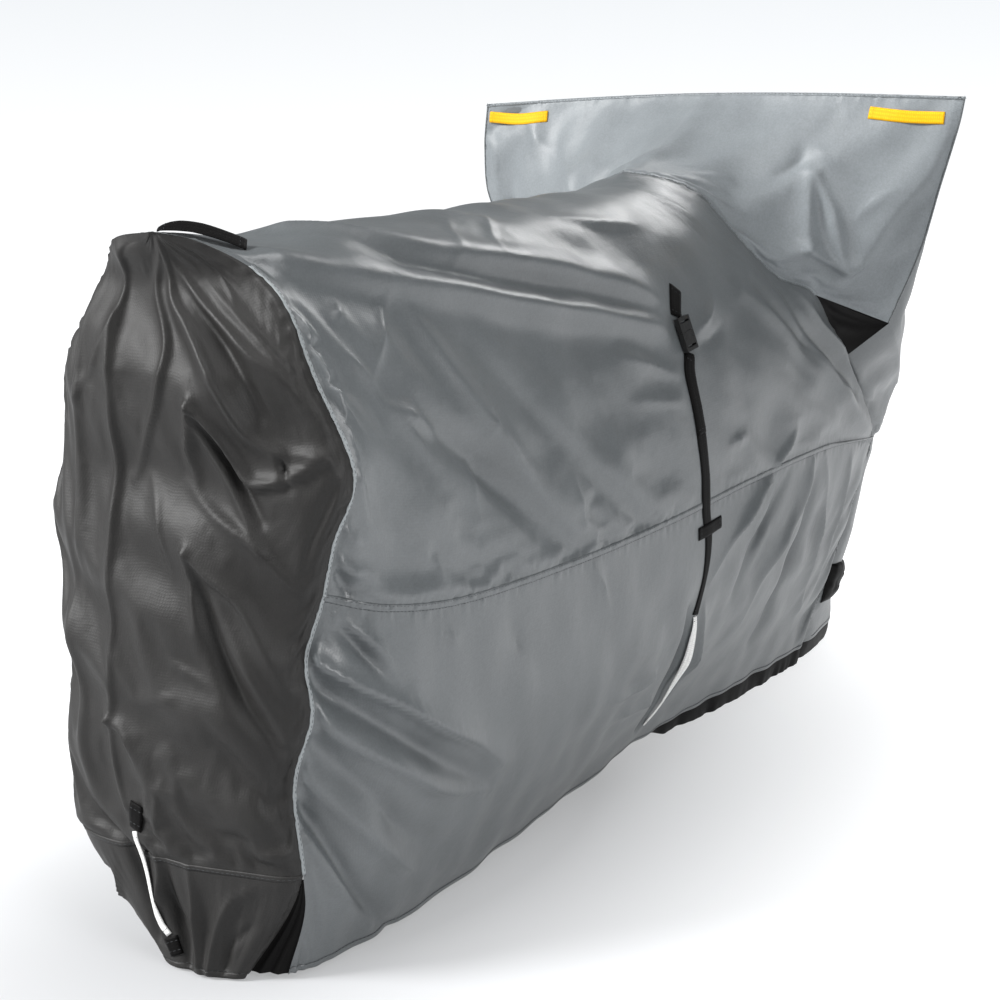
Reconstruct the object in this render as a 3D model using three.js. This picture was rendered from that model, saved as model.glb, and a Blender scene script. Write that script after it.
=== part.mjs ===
// A fitted cover for a parked motorcycle, as it hangs: hollow, open below, sewn from cloth panels
// with webbing straps on the outside. Millimetres, +X forward, +Y left, +Z up, floor at z = 0.
import * as THREE from 'three';

// Driving dimensions
const CLOTH = 1.5;
const SEAM_GAP = 0.3;
const WEBBING = 1.6;
const LAY_GAP = 0.35;
const EDGE_DRAW = SEAM_GAP * 0.9;
const TIP_DRAW = 1.2;

// The rear seam, where the end panel meets the sides. Right and left are distances from the
// middle plane: the cover leans a little to the left, as the stand lets it.
const REAR_SEAM = [
  { level: 'hem', x: -1040, right: 135, left: 95, z: 8 },
  { level: 'heel', x: -1035, right: 160, left: 178, z: 92 },
  { level: 'skirt', x: -1045, right: 168, left: 212, z: 155 },
  { level: 'calf', x: -1050, right: 160, left: 220, z: 275 },
  { level: 'puff', x: -1050, right: 190, left: 214, z: 370 },
  { level: 'tuck', x: -1047, right: 180, left: 218, z: 443 },
  { level: 'side', x: -1036, right: 200, left: 230, z: 520 },
  { level: 'thigh', x: -1036, right: 220, left: 246, z: 595 },
  { level: 'flank', x: -1020, right: 240, left: 236, z: 678 },
  { level: 'rib', x: -1035, right: 195, left: 215, z: 792 },
  { level: 'shoulder', x: -1030, right: 150, left: 168, z: 878 },
  { level: 'collar', x: -1030, right: 100, left: 142, z: 921 },
  { level: 'corner', x: -1066, right: 38, left: 108, z: 952 },
  { level: 'tail', x: -1085, right: -45, left: 45, z: 967 },
];

// Cross sections of the body. Each level has its own x, so a section may lean.
const BODY_SECTIONS = [
  { name: 'tail', spine: [-955, 40, 970], shoulder: [-950, 118, 916], flank: [-945, 222, 700],
    side: [-945, 236, 492], skirt: [-945, 226, 262], hem: [-950, 152, 10] },
  { name: 'seat back', spine: [-780, 30, 979], shoulder: [-780, 118, 925], flank: [-780, 212, 712],
    side: [-780, 250, 471], skirt: [-780, 234, 250], hem: [-780, 158, 10] },
  { name: 'seat', spine: [-480, 15, 991], shoulder: [-480, 122, 932], flank: [-480, 212, 722],
    side: [-480, 255, 467], skirt: [-485, 236, 240], hem: [-500, 140, 14] },
  { name: 'waist', spine: [-200, 5, 1001], shoulder: [-200, 130, 940], flank: [-195, 224, 730],
    side: [-180, 260, 477], skirt: [-190, 232, 250], hem: [-210, 118, 24] },
  { name: 'tank', spine: [10, 0, 1012], shoulder: [30, 140, 946], flank: [60, 240, 738],
    side: [100, 261, 494], skirt: [70, 222, 255], hem: [30, 102, 34] },
  { name: 'neck', spine: [66, 0, 1020], shoulder: [125, 138, 955], flank: [330, 250, 720],
    side: [470, 256, 504], skirt: [440, 205, 262], hem: [410, 126, 42] },
];

// The hood seam, from the side seam at the front up to the tank top.
const HOOD_SEAM = [
  { level: 'front', x: 835, out: 214, z: 473 },
  { level: 'cheek', x: 700, out: 242, z: 560 },
  { level: 'gusset foot', x: 545, out: 252, z: 668 },
  { level: 'gusset top', x: 425, out: 242, z: 799 },
  { level: 'bend', x: 340, out: 202, z: 836 },
  { level: 'hollow', x: 268, out: 162, z: 902 },
  { level: 'crest', x: 238, out: 135, z: 945 },
  { level: 'brow', x: 210, out: 100, z: 990 },
  { level: 'saddle', x: 165, out: 55, z: 1016 },
  { level: 'top', x: 113, out: 0, z: 1028 },
];

// The lower edge forward of the hood seam, round the front wheel to the middle plane.
const FRONT_SECTIONS = [
  { name: 'front corner', side: [835, 214, 473], skirt: [770, 172, 255], hem: [690, 128, 48] },
  { name: 'wheel side', side: [965, 128, 452], skirt: [965, 110, 245], hem: [905, 98, 48] },
  { name: 'wheel face', side: [1066, 62, 446], skirt: [1054, 56, 240], hem: [980, 46, 46] },
  { name: 'front', side: [1108, 0, 444], skirt: [1090, 0, 240], hem: [1010, 0, 46] },
];

// The bar ridge and the hood's side seams below its two corners.
const RIDGE = { x: 455, right: 500, left: 504, z: 1158, rise: 14 };
const HOOD_SIDE = {
  right: [[462, 488, 1105], [485, 452, 1000], [520, 408, 880], [565, 336, 740]],
  left: [[452, 509, 1065], [462, 500, 960], [505, 442, 850], [565, 354, 740]],
};
const HOOD_BULGE = { back: [14, 0, -22], front: [67, 0, 67], gusset: -12 };
const REAR_BULGE = [
  { z: 0, depth: 34 }, { z: 155, depth: 52 }, { z: 520, depth: 66 },
  { z: 800, depth: 58 }, { z: 940, depth: 22 }, { z: 967, depth: 0 },
];
const GUSSET = { foot: 46, set: 0.45 };
const BAND = { from: 'tank', drop: 34, tuck: 14, startShare: 0.4, growth: 0.15 };

// Numbers of facets along each run of the panels
const STEPS = {
  skirt: 2, calf: 5, cheek: 4, gusset: 3, crown: 10, rear: 14,
  body: [2, 3, 4, 4, 3, 3, 3], front: [3, 3, 3], hoodSide: 7,
};

// Main folds. A fold runs from one point to another on a face, as a ridge (height above zero)
// or a trough, and fades out at both ends. Sides are read in x and z, ends in y and z.
const FOLDS = [
  { face: 'right', name: 'long ridge', from: [-900, 905], to: [-60, 835], width: 38, height: 9 },
  { face: 'right', name: 'long trough', from: [-900, 860], to: [-80, 800], width: 34, height: -8 },
  { face: 'right', name: 'second ridge', from: [-940, 835], to: [-60, 775], width: 38, height: 8 },
  { face: 'right', name: 'flank trough', from: [-830, 740], to: [-330, 545], width: 46, height: -14 },
  { face: 'right', name: 'flank ridge', from: [-760, 770], to: [-300, 610], width: 42, height: 9 },
  { face: 'right', name: 'neck ridge', from: [210, 880], to: [640, 590], width: 34, height: 10 },
  { face: 'right', name: 'neck trough', from: [180, 830], to: [660, 540], width: 32, height: -9 },
  { face: 'right', name: 'belt dent', from: [-40, 900], to: [40, 420], width: 40, height: -7 },
  { face: 'right', name: 'skirt ridge', from: [-1000, 400], to: [-420, 190], width: 44, height: 13 },
  { face: 'right', name: 'skirt trough', from: [-990, 335], to: [-400, 120], width: 44, height: -11 },
  { face: 'right', name: 'front lean', from: [330, 470], to: [180, 200], width: 46, height: -9 },
  { face: 'left', name: 'long ridge', from: [-860, 890], to: [-40, 850], width: 42, height: 9 },
  { face: 'left', name: 'flank trough', from: [-700, 760], to: [-150, 600], width: 50, height: -13 },
  { face: 'left', name: 'neck ridge', from: [200, 860], to: [650, 570], width: 36, height: 9 },
  { face: 'left', name: 'skirt ridge', from: [-940, 390], to: [-300, 210], width: 48, height: 12 },
  { face: 'left', name: 'skirt trough', from: [-500, 420], to: [100, 160], width: 50, height: -11 },
  { face: 'rear', name: 'fan ridge', from: [20, 930], to: [-165, 700], width: 26, height: 13 },
  { face: 'rear', name: 'fan trough', from: [30, 900], to: [-110, 690], width: 26, height: -12 },
  { face: 'rear', name: 'pressed edge', from: [88, 890], to: [104, 240], width: 22, height: 9 },
  { face: 'rear', name: 'hollow', from: [-60, 640], to: [-110, 380], width: 30, height: -13 },
  { face: 'rear', name: 'long fold', from: [-30, 600], to: [-60, 330], width: 26, height: 11 },
  { face: 'rear', name: 'lower pleat', from: [-10, 170], to: [-10, 20], width: 20, height: 9 },
  { face: 'hood', name: 'tent ridge', from: [-195, 1050], to: [-205, 880], width: 36, height: 15 },
  { face: 'hood', name: 'tent trough', from: [-260, 1010], to: [-270, 850], width: 34, height: -12 },
  { face: 'hood', name: 'corner dent', from: [440, 1120], to: [380, 1000], width: 40, height: -12 },
  { face: 'nose', name: 'nose ridge', from: [120, 1020], to: [40, 600], width: 60, height: 14 },
  { face: 'nose', name: 'nose trough', from: [-150, 980], to: [-60, 620], width: 60, height: -13 },
];

// Straps and patches laid on the cloth. Paths are read on a face: x and z on the right side, y and z
// on the rear, x and y on top. Rise is the height of an arch, puff the stuffing of a patch.
const STRAPS = [
  { name: 'belt_end', face: 'right', path: [[-68, 842], [-88, 812], [-94, 797]], width: 30, finish: 'black' },
  { name: 'belt', face: 'right', width: 30, finish: 'black',
    path: [[-84, 738], [-95, 700], [-84, 622], [-74, 543], [-70, 473], [-58, 425], [-50, 350], [-58, 290]] },
  { name: 'belt_tail', face: 'right', path: [[-86, 734], [-95, 698], [-80, 606]], width: 29,
    finish: 'black' },
  { name: 'belt_keeper', face: 'right', path: [[-97, 438], [-58, 442], [-12, 446]], width: 22,
    finish: 'black' },
  { name: 'belt_strap', face: 'right', width: 14, finish: 'white',
    path: [[-58, 287], [-52, 256], [-41, 208], [-30, 156], [-20, 104], [-26, 66]] },
  { name: 'rear_tab_upper', face: 'rear', path: [[57, 226], [66, 188]], width: 22, finish: 'black' },
  { name: 'rear_strap', face: 'rear', path: [[66, 185], [58, 150], [48, 101], [34, 62], [22, 46]], width: 9,
    finish: 'white' },
  { name: 'rear_tab_lower', face: 'rear', path: [[20, 43], [10, 20]], width: 20, finish: 'black' },
  { name: 'rear_handle', face: 'top', path: [[-1056, 16], [-1036, 0], [-1008, -22], [-984, -44]], width: 25,
    rise: 22, step: 11, finish: 'black' },
  { name: 'grab_tape_left', face: 'rear', path: [[496, 1132], [424, 1127], [354, 1132]], width: 22,
    finish: 'yellow' },
  { name: 'grab_tape_right', face: 'rear', path: [[-324, 1132], [-395, 1124], [-464, 1121]], width: 22,
    finish: 'yellow' },
  { name: 'front_pouch', face: 'right', path: [[742, 168], [800, 162], [860, 152], [925, 144]], width: 84,
    puff: 12, finish: 'black' },
];
const STRAP_STEP = 22;
const RAISE = { passes: 3, shares: [0.1, 0.35, 0.65, 0.9] };
const ARCH_START = 0.35;
const PUFF_EDGE = 0.3;
const BUCKLE = { top: [-94, 795], foot: [-86, 741], width: 38, height: 8, bar: 6, slot: 3.6, wall: 5 };
// Shares of the buckle's length and half width: where it parts, and the arms of the plug
const BUCKLE_ARMS = { split: 0.42, reach: 0.62, inner: 0.5, outer: 0.72, play: 0.6 };

// Curves and grids
const RIGHT = -1;
const LEFT = 1;
const at = (x, y, z) => new THREE.Vector3(x, y, z);
const last = (list) => list[list.length - 1];
const smooth = (points) => new THREE.CatmullRomCurve3(points, false, 'catmullrom', 0.5);

// Points evenly spaced along a curve between two of its own knots
function span(curve, fromKnot, toKnot, steps) {
  const FINE = 80;
  const knots = curve.points.length - 1;
  const fine = [];
  for (let i = 0; i <= FINE; i++) {
    fine.push(curve.getPoint((fromKnot + (toKnot - fromKnot) * i / FINE) / knots));
  }
  const run = [0];
  for (let i = 1; i <= FINE; i++) run.push(run[i - 1] + fine[i].distanceTo(fine[i - 1]));
  const points = [];
  for (let k = 0, i = 1; k <= steps; k++) {
    const want = last(run) * k / steps;
    while (i < FINE && run[i] < want) i++;
    const share = (want - run[i - 1]) / Math.max(run[i] - run[i - 1], 1e-9);
    points.push(fine[i - 1].clone().lerp(fine[i], share));
  }
  return points;
}

// Runs of points joined end to end, each run starting where the one before it stopped
const chain = (...runs) => runs.flatMap((run, i) => (i ? run.slice(1) : run));

// A smooth strip through control sections, with a number of steps between each pair
function loft(sections, steps) {
  const columns = sections[0].map((_, j) => smooth(sections.map((section) => section[j])));
  const knots = sections.length - 1;
  const grid = [];
  steps.forEach((count, k) => {
    for (let i = 0; i < count; i++) grid.push(columns.map((c) => c.getPoint((k + i / count) / knots)));
  });
  grid.push(last(sections).map((p) => p.clone()));
  return grid;
}

// A four-sided patch between its edges: near and far run across, right and left run up
function patch(near, far, first, final) {
  const across = near.length - 1;
  const up = first.length - 1;
  return first.map((start, v) => near.map((foot, u) => {
    const s = u / across;
    const t = v / up;
    const p = foot.clone().multiplyScalar(1 - t).addScaledVector(far[u], t);
    p.addScaledVector(start, 1 - s).addScaledVector(final[v], s);
    p.addScaledVector(near[0], -(1 - s) * (1 - t)).addScaledVector(last(near), -s * (1 - t));
    return p.addScaledVector(far[0], -(1 - s) * t).addScaledVector(last(far), -s * t);
  }));
}

// Value of a table column at a height, between its rows
function atHeight(rows, z, column) {
  for (let i = 1; i < rows.length; i++) {
    if (z <= rows[i].z || i === rows.length - 1) {
      const share = (z - rows[i - 1].z) / (rows[i].z - rows[i - 1].z);
      return rows[i - 1][column] + (rows[i][column] - rows[i - 1][column]) * Math.min(1, share);
    }
  }
  return rows[0][column];
}

// Seam lines of one side of the cover
function seamLines(side) {
  const mirror = ([x, out, z]) => at(x, side * out, z);
  const rearOut = side === RIGHT ? 'right' : 'left';
  const rear = smooth(REAR_SEAM.map((row) => at(row.x, side * row[rearOut], row.z)));
  const level = (name) => REAR_SEAM.findIndex((row) => row.level === name);
  const rearSkirt = span(rear, 0, level('skirt'), STEPS.skirt);
  const rearCalf = span(rear, level('skirt'), level('side'), STEPS.calf);
  const upperSteps = STEPS.cheek + STEPS.gusset + STEPS.crown;
  const rearUpper = span(rear, level('side'), REAR_SEAM.length - 1, upperSteps);

  const neck = smooth(HOOD_SEAM.map((row) => at(row.x, side * row.out, row.z)));
  const foot = HOOD_SEAM.findIndex((row) => row.level === 'gusset foot');
  const top = HOOD_SEAM.findIndex((row) => row.level === 'gusset top');
  const cheek = span(neck, 0, foot, STEPS.cheek);
  const vent = span(neck, foot, top, STEPS.gusset);
  const crown = span(neck, top, HOOD_SEAM.length - 1, STEPS.crown);

  const corner = at(RIDGE.x, side * RIDGE[rearOut], RIDGE.z);
  const hang = smooth([corner, ...HOOD_SIDE[rearOut].map(mirror)].reverse());
  const hoodSide = span(hang, 0, hang.points.length - 1, STEPS.hoodSide);
  const tip = hoodSide[0];
  const ventTop = span(smooth([last(vent), tip]), 0, 1, STEPS.gusset);
  const ventFoot = span(smooth([vent[0], tip]), 0, 1, STEPS.gusset);

  const upperSections = BODY_SECTIONS.map((row) => {
    const spine = at(row.spine[0], row.spine[1], row.spine[2]);
    const edge = smooth([mirror(row.side), mirror(row.flank), mirror(row.shoulder), spine]);
    return span(edge, 0, 3, upperSteps);
  });
  const upper = loft([rearUpper, ...upperSections, chain(cheek, vent, crown)], STEPS.body);

  const lowerSteps = STEPS.skirt + STEPS.calf;
  const lowerSections = [...BODY_SECTIONS, ...FRONT_SECTIONS].map((row) => (
    span(smooth([mirror(row.hem), mirror(row.skirt), mirror(row.side)]), 0, 2, lowerSteps)));
  const lower = loft([chain(rearSkirt, rearCalf), ...lowerSections], [...STEPS.body, ...STEPS.front]);
  upper.forEach((row, i) => { row[0] = last(lower[i]).clone(); });
  return {
    rearSkirt, rearCalf, rearUpper, upper, lower, hoodSide, ventTop, ventFoot,
    cheek: [last(upper)[0], ...cheek.slice(1)], vent, crown, corner,
  };
}
const right = seamLines(RIGHT);
const left = seamLines(LEFT);

// The ridge line of the hood, straight from corner to corner with a slight rise
const ridgeSteps = 2 * (STEPS.gusset + STEPS.crown);
const ridge = Array.from({ length: ridgeSteps + 1 }, (_, i) => {
  const s = i / ridgeSteps;
  return right.corner.clone().lerp(left.corner, s).add(at(0, 0, RIDGE.rise * Math.sin(Math.PI * s)));
});

// A patch pushed out from its straight form: the push is greatest in the middle
function bulged(grid, push) {
  return grid.map((row, v) => row.map((p, u) => {
    const s = u / (row.length - 1);
    const t = v / (grid.length - 1);
    return p.clone().addScaledVector(push, 16 * s * (1 - s) * t * (1 - t));
  }));
}

// Panels of cloth, each a grid of points
const GREY = { color: 0x868b8d, roughness: 0.5 };
const PALE = { color: 0xaeb3b6, roughness: 0.5 };
const CHARCOAL = { color: 0x4a4a48, roughness: 0.5 };
const BLACK = { color: 0x242223, roughness: 0.75 };
const YELLOW = { color: 0xffc326, roughness: 0.7 };
const WHITE = { color: 0xf6f6f4, roughness: 0.6 };
const PLASTIC = { color: 0x1d1c1d, roughness: 0.4 };
const panels = [];

// End of the cover: rows run from the right rear seam round to the left one
function rearRow(from, to) {
  const depth = atHeight(REAR_BULGE, (from.z + to.z) / 2, 'depth');
  return Array.from({ length: STEPS.rear + 1 }, (_, i) => {
    const s = i / STEPS.rear;
    const p = from.clone().lerp(to, s);
    p.x -= depth * Math.sqrt(Math.max(0, 4 * s * (1 - s)));
    return p;
  });
}
const gussetTop = STEPS.skirt;
const footRow = [0, 1].map((end) => [right, left][end].rearSkirt.map((p, r) => {
  const inward = GUSSET.foot * (1 - r / gussetTop) * (end ? -1 : 1);
  return at(p.x - Math.abs(inward) * GUSSET.set, p.y + inward, p.z);
}));
const skirtRows = footRow[0].map((p, r) => rearRow(p, footRow[1][r]));
const rearRows = [
  ...right.rearCalf.map((p, r) => rearRow(p, left.rearCalf[r])),
  ...right.rearUpper.slice(1).map((p, r) => rearRow(p, left.rearUpper[r + 1])),
];
panels.push({ name: 'rear_skirt', face: 'rear', grid: skirtRows, finish: CHARCOAL });
panels.push({ name: 'rear_panel', face: 'rear', grid: rearRows, finish: CHARCOAL });
[right, left].forEach((half, end) => {
  const name = end ? 'rear_gusset_left' : 'rear_gusset_right';
  const grid = half.rearSkirt.map((p, r) => [p, p.clone().lerp(footRow[end][r], 0.5), footRow[end][r]]);
  panels.push({ name, face: 'rear', grid, finish: BLACK });
});

// Body: the upper panel runs over the saddle, the lower ones down to the hem
const upperGrid = right.upper.map((row, i) => [...row, ...left.upper[i].slice(0, -1).reverse()]);
panels.push({ name: 'upper_panel', face: 'side', grid: upperGrid, finish: GREY });
const sideSteps = STEPS.body.reduce((a, b) => a + b, 0);
[right, left].forEach((half, end) => {
  const name = end ? 'lower_panel_left' : 'lower_panel_right';
  panels.push({ name, face: 'side', grid: half.lower.slice(0, sideSteps + 1), finish: GREY });
});
const frontGrid = [...right.lower.slice(sideSteps), ...left.lower.slice(sideSteps, -1).reverse()];
panels.push({ name: 'front_panel', face: 'nose', grid: frontGrid, finish: GREY });

// Hood: back and front meet along the ridge and down both sides
const backHalf = (half) => chain([...half.ventTop].reverse(), half.crown);
const backFoot = [...backHalf(right), ...backHalf(left).slice(0, -1).reverse()];
const hoodBack = patch(backFoot, ridge, right.hoodSide, left.hoodSide);
panels.push({
  name: 'hood_back', face: 'hood', finish: PALE,
  grid: bulged(hoodBack, at(...HOOD_BULGE.back)),
});
const sideFront = (half) => half.lower.slice(sideSteps).map((row) => last(row));
const frontFoot = (half) => chain([...half.cheek].reverse(), sideFront(half));
const noseFoot = [...frontFoot(right), ...frontFoot(left).slice(0, -1).reverse()];
const noseEdge = (half) => chain(half.ventFoot, half.hoodSide);
const hoodFront = patch(noseFoot, ridge, noseEdge(right), noseEdge(left));
panels.push({
  name: 'hood_front', face: 'nose', finish: GREY,
  grid: bulged(hoodFront, at(...HOOD_BULGE.front)),
});
[right, left].forEach((half, end) => {
  const name = end ? 'hood_gusset_left' : 'hood_gusset_right';
  const grid = half.ventFoot.map((p, r) => {
    const steps = half.vent.length - 1;
    const share = r / (half.ventFoot.length - 1);
    return half.vent.map((q, k) => {
      const edge = p.clone().lerp(half.ventTop[r], k / steps);
      const dip = HOOD_BULGE.gusset * 16 * share * (1 - share) * (k / steps) * (1 - k / steps);
      return r ? edge.add(at(0, end ? dip : -dip, 0)) : q;
    });
  });
  panels.push({ name, face: 'side', grid, finish: BLACK });
});

// Gathered band round the front of the hem
const bandStart = STEPS.body.slice(0, BODY_SECTIONS.findIndex((row) => row.name === BAND.from) + 1)
  .reduce((a, b) => a + b, 0);
const hemLine = [
  ...right.lower.slice(bandStart).map((row) => row[0]),
  ...left.lower.slice(bandStart, -1).map((row) => row[0]).reverse(),
];
const bandGrid = hemLine.map((p, i) => {
  const end = Math.min(i, hemLine.length - 1 - i);
  const along = hemLine[Math.min(i + 1, hemLine.length - 1)].clone().sub(hemLine[Math.max(i - 1, 0)]);
  const inward = at(-along.y, along.x, 0).normalize();
  const drop = BAND.drop * Math.min(1, BAND.startShare + BAND.growth * end);
  return [p.clone().addScaledVector(inward, BAND.tuck).add(at(0, 0, -drop)), p];
});
panels.push({ name: 'hem_band', face: 'side', grid: bandGrid, finish: BLACK });

// Grids that share a seam share its points, so the whole skin has one normal at each of them
const KEY_STEP = 0.05;
const keyOf = (p) => [p.x, p.y, p.z].map((c) => Math.round(c / KEY_STEP)).join();
const CORE = { rear: -800, front: 600, z: 560 };

function facesOut(grid) {
  const middle = grid[Math.floor(grid.length / 2)][Math.floor(grid[0].length / 2)];
  const core = at(THREE.MathUtils.clamp(middle.x, CORE.rear, CORE.front), 0, CORE.z);
  let sum = 0;
  eachCell(grid, (a, b, c, d) => {
    const normal = c.clone().sub(a).cross(d.clone().sub(b));
    sum += normal.dot(middle.clone().sub(core));
  });
  return sum > 0;
}

function eachCell(grid, use) {
  for (let i = 1; i < grid.length; i++) {
    for (let j = 1; j < grid[0].length; j++) {
      use(grid[i - 1][j - 1], grid[i - 1][j], grid[i][j], grid[i][j - 1]);
    }
  }
}

// Each panel that meets at a point counts the same, however large its facets are
function skinNormals() {
  const skin = new Map();
  for (const { grid } of panels) {
    const own = new Map();
    eachCell(grid, (a, b, c, d) => {
      const normal = c.clone().sub(a).cross(d.clone().sub(b)).normalize();
      const keys = new Set([a, b, c, d].map(keyOf));
      for (const key of keys) own.set(key, (own.get(key) ?? at(0, 0, 0)).add(normal));
    });
    for (const [key, normal] of own) {
      skin.set(key, (skin.get(key) ?? at(0, 0, 0)).add(normal.normalize()));
    }
  }
  return (p) => skin.get(keyOf(p)).clone().normalize();
}

// Height of the folds at a point of a face; a fold fades towards its ends
function foldHeight(face, p) {
  const side = p.y < 0 ? 'right' : 'left';
  const name = face === 'side' ? side : face;
  const flat = face === 'side' ? [p.x, p.z] : [p.y, p.z];
  let height = 0;
  for (const fold of FOLDS.filter((row) => row.face === name)) {
    const run = [fold.to[0] - fold.from[0], fold.to[1] - fold.from[1]];
    const reach = [flat[0] - fold.from[0], flat[1] - fold.from[1]];
    const long = Math.hypot(...run);
    const along = (reach[0] * run[0] + reach[1] * run[1]) / long;
    const aside = (reach[0] * run[1] - reach[1] * run[0]) / long;
    const fade = THREE.MathUtils.smoothstep(Math.min(along, long - along), -fold.width, 2 * fold.width);
    height += fold.height * fade * Math.exp(-((aside / fold.width) ** 2));
  }
  return height;
}

for (const panel of panels) {
  if (!facesOut(panel.grid)) panel.grid = panel.grid.map((row) => [...row].reverse());
}
const uses = new Map();
for (const { grid } of panels) {
  for (const key of new Set(grid.flat().map(keyOf))) uses.set(key, (uses.get(key) ?? 0) + 1);
}
const flatNormal = skinNormals();
for (const panel of panels) {
  panel.folded = panel.grid.map((row) => row.map((p) => (
    uses.get(keyOf(p)) > 1 ? p.clone()
      : p.clone().addScaledVector(flatNormal(p), foldHeight(panel.face, p)))));
}
for (const panel of panels) panel.grid = panel.folded;
const foldedNormal = skinNormals();

// Triangles between two like grids and round their rim; those that have closed up are left out
function shell(outer, inner) {
  const position = [];
  const tri = (a, b, c) => {
    const open = new Set([a, b, c].map(keyOf)).size === 3;
    if (open) position.push(...a.toArray(), ...b.toArray(), ...c.toArray());
  };
  const quad = (a, b, c, d) => {
    tri(a, b, c);
    tri(a, c, d);
  };
  eachCell(outer, (a, b, c, d) => quad(a, b, c, d));
  eachCell(inner, (a, b, c, d) => {
    tri(a, c, b);
    tri(a, d, c);
  });
  const rows = outer.length - 1;
  const columns = outer[0].length - 1;
  for (let j = 1; j <= columns; j++) {
    quad(outer[0][j], outer[0][j - 1], inner[0][j - 1], inner[0][j]);
    quad(outer[rows][j - 1], outer[rows][j], inner[rows][j], inner[rows][j - 1]);
  }
  for (let i = 1; i <= rows; i++) {
    quad(outer[i - 1][0], outer[i][0], inner[i][0], inner[i - 1][0]);
    quad(outer[i][columns], outer[i - 1][columns], inner[i - 1][columns], inner[i][columns]);
  }
  return new THREE.BufferGeometry().setAttribute('position', new THREE.Float32BufferAttribute(position, 3));
}

// A panel as a sheet: its edges draw back square to the seams by half the gap
function sheetOf(grid) {
  const rows = grid.length - 1;
  const columns = grid[0].length - 1;
  const tip = (row) => new Set(row.map(keyOf)).size === 1;
  const mean = (row) => row.reduce((sum, p) => sum.add(p), at(0, 0, 0)).divideScalar(row.length);
  const draw = (i, j) => {
    const p = grid[i][j];
    if (tip(grid[i])) return mean(i ? grid[i - 1] : grid[1]).sub(p).setLength(TIP_DRAW);
    const normal = foldedNormal(p);
    const down = grid[Math.min(i + 1, rows)][j].clone().sub(grid[Math.max(i - 1, 0)][j]);
    const over = grid[i][Math.min(j + 1, columns)].clone().sub(grid[i][Math.max(j - 1, 0)]);
    const shift = at(0, 0, 0);
    const inRows = normal.clone().cross(over).setLength(i ? -EDGE_DRAW : EDGE_DRAW);
    const inColumns = down.cross(normal).setLength(j ? -EDGE_DRAW : EDGE_DRAW);
    if (i === 0 || i === rows) shift.add(inRows);
    if (j === 0 || j === columns) shift.add(inColumns);
    return shift;
  };
  const outer = grid.map((row, i) => row.map((p, j) => p.clone().add(draw(i, j))));
  const inner = grid.map((row, i) => row.map((p, j) => (
    outer[i][j].clone().addScaledVector(foldedNormal(p), -CLOTH))));
  return shell(outer, inner);
}

const cover = new THREE.Group();
function addPiece(name, geometry, finish) {
  const mesh = new THREE.Mesh(geometry, new THREE.MeshStandardMaterial({ metalness: 0, ...finish }));
  mesh.name = name;
  cover.add(mesh);
  return mesh;
}
for (const { name, grid, finish } of panels) addPiece(name, sheetOf(grid), finish);

// Faces that straps are laid on: where a point of the path starts from, and the way in to the cloth
const FAR = 2000;
const FACES = {
  right: { start: (a, b) => at(a, -FAR, b), inward: at(0, 1, 0) },
  rear: { start: (a, b) => at(-FAR, a, b), inward: at(1, 0, 0) },
  top: { start: (a, b) => at(a, b, FAR), inward: at(0, 0, -1) },
};
const caster = new THREE.Raycaster();

// How far out the cloth, or a strap already on it, lies at a point; small side steps bridge a seam
function level({ start, inward }, a, b) {
  const SIDE_STEP = 0.9;
  const levels = [0, SIDE_STEP, -SIDE_STEP].map((step) => {
    caster.set(start(a + step, b + step), inward);
    const hit = caster.intersectObjects(cover.children, false)[0];
    return hit ? -hit.distance : -Infinity;
  });
  return Math.max(...levels);
}

// A strip of webbing along a path, raised until it clears the facets under it
function strip({ face, path, width, rise = 0, puff = 0, step = STRAP_STEP }) {
  const ground = FACES[face];
  const line = smooth(path.map(([a, b]) => at(a, b, 0)));
  const steps = Math.max(2, Math.round(line.getLength() / step));
  const rows = Array.from({ length: steps + 1 }, (_, i) => {
    const p = line.getPointAt(i / steps);
    const t = line.getTangentAt(i / steps);
    return [-1, 0, 1].map((k) => at(p.x - k * t.y * width / 2, p.y + k * t.x * width / 2, 0));
  });
  const heightAt = (p) => level(ground, p.x, p.y) + LAY_GAP;
  for (const p of rows.flat()) p.z = heightAt(p);
  for (let pass = 0; pass < RAISE.passes; pass++) {
    eachCell(rows, (...corners) => {
      for (const s of RAISE.shares) {
        for (const t of RAISE.shares) {
          const [a, b, c, d] = corners;
          const p = a.clone().lerp(b, t).lerp(d.clone().lerp(c, t), s);
          const need = heightAt(p) - p.z;
          if (need > 0) corners.forEach((corner) => { corner.z += need; });
        }
      }
    });
  }
  const place = (thickness) => rows.map((row, i) => row.map((p, k) => {
    const middle = Math.sin(Math.PI * i / steps);
    const arch = rise * THREE.MathUtils.smoothstep(middle, ARCH_START, 1);
    const stuffing = thickness ? puff * middle * (k === 1 ? 1 : PUFF_EDGE) : 0;
    return ground.start(p.x, p.y).addScaledVector(ground.inward, -(p.z + arch + thickness + stuffing));
  }));
  const outer = place(WEBBING);
  const inner = place(0);
  const normal = outer[0][1].clone().sub(outer[0][0]).cross(outer[1][0].clone().sub(outer[0][0]));
  if (normal.dot(ground.inward) > 0) [...outer, ...inner].forEach((row) => row.reverse());
  return shell(outer, inner);
}
const FINISHES = { black: BLACK, yellow: YELLOW, white: WHITE };
for (const row of STRAPS) addPiece(row.name, strip(row), FINISHES[row.finish]);

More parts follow.
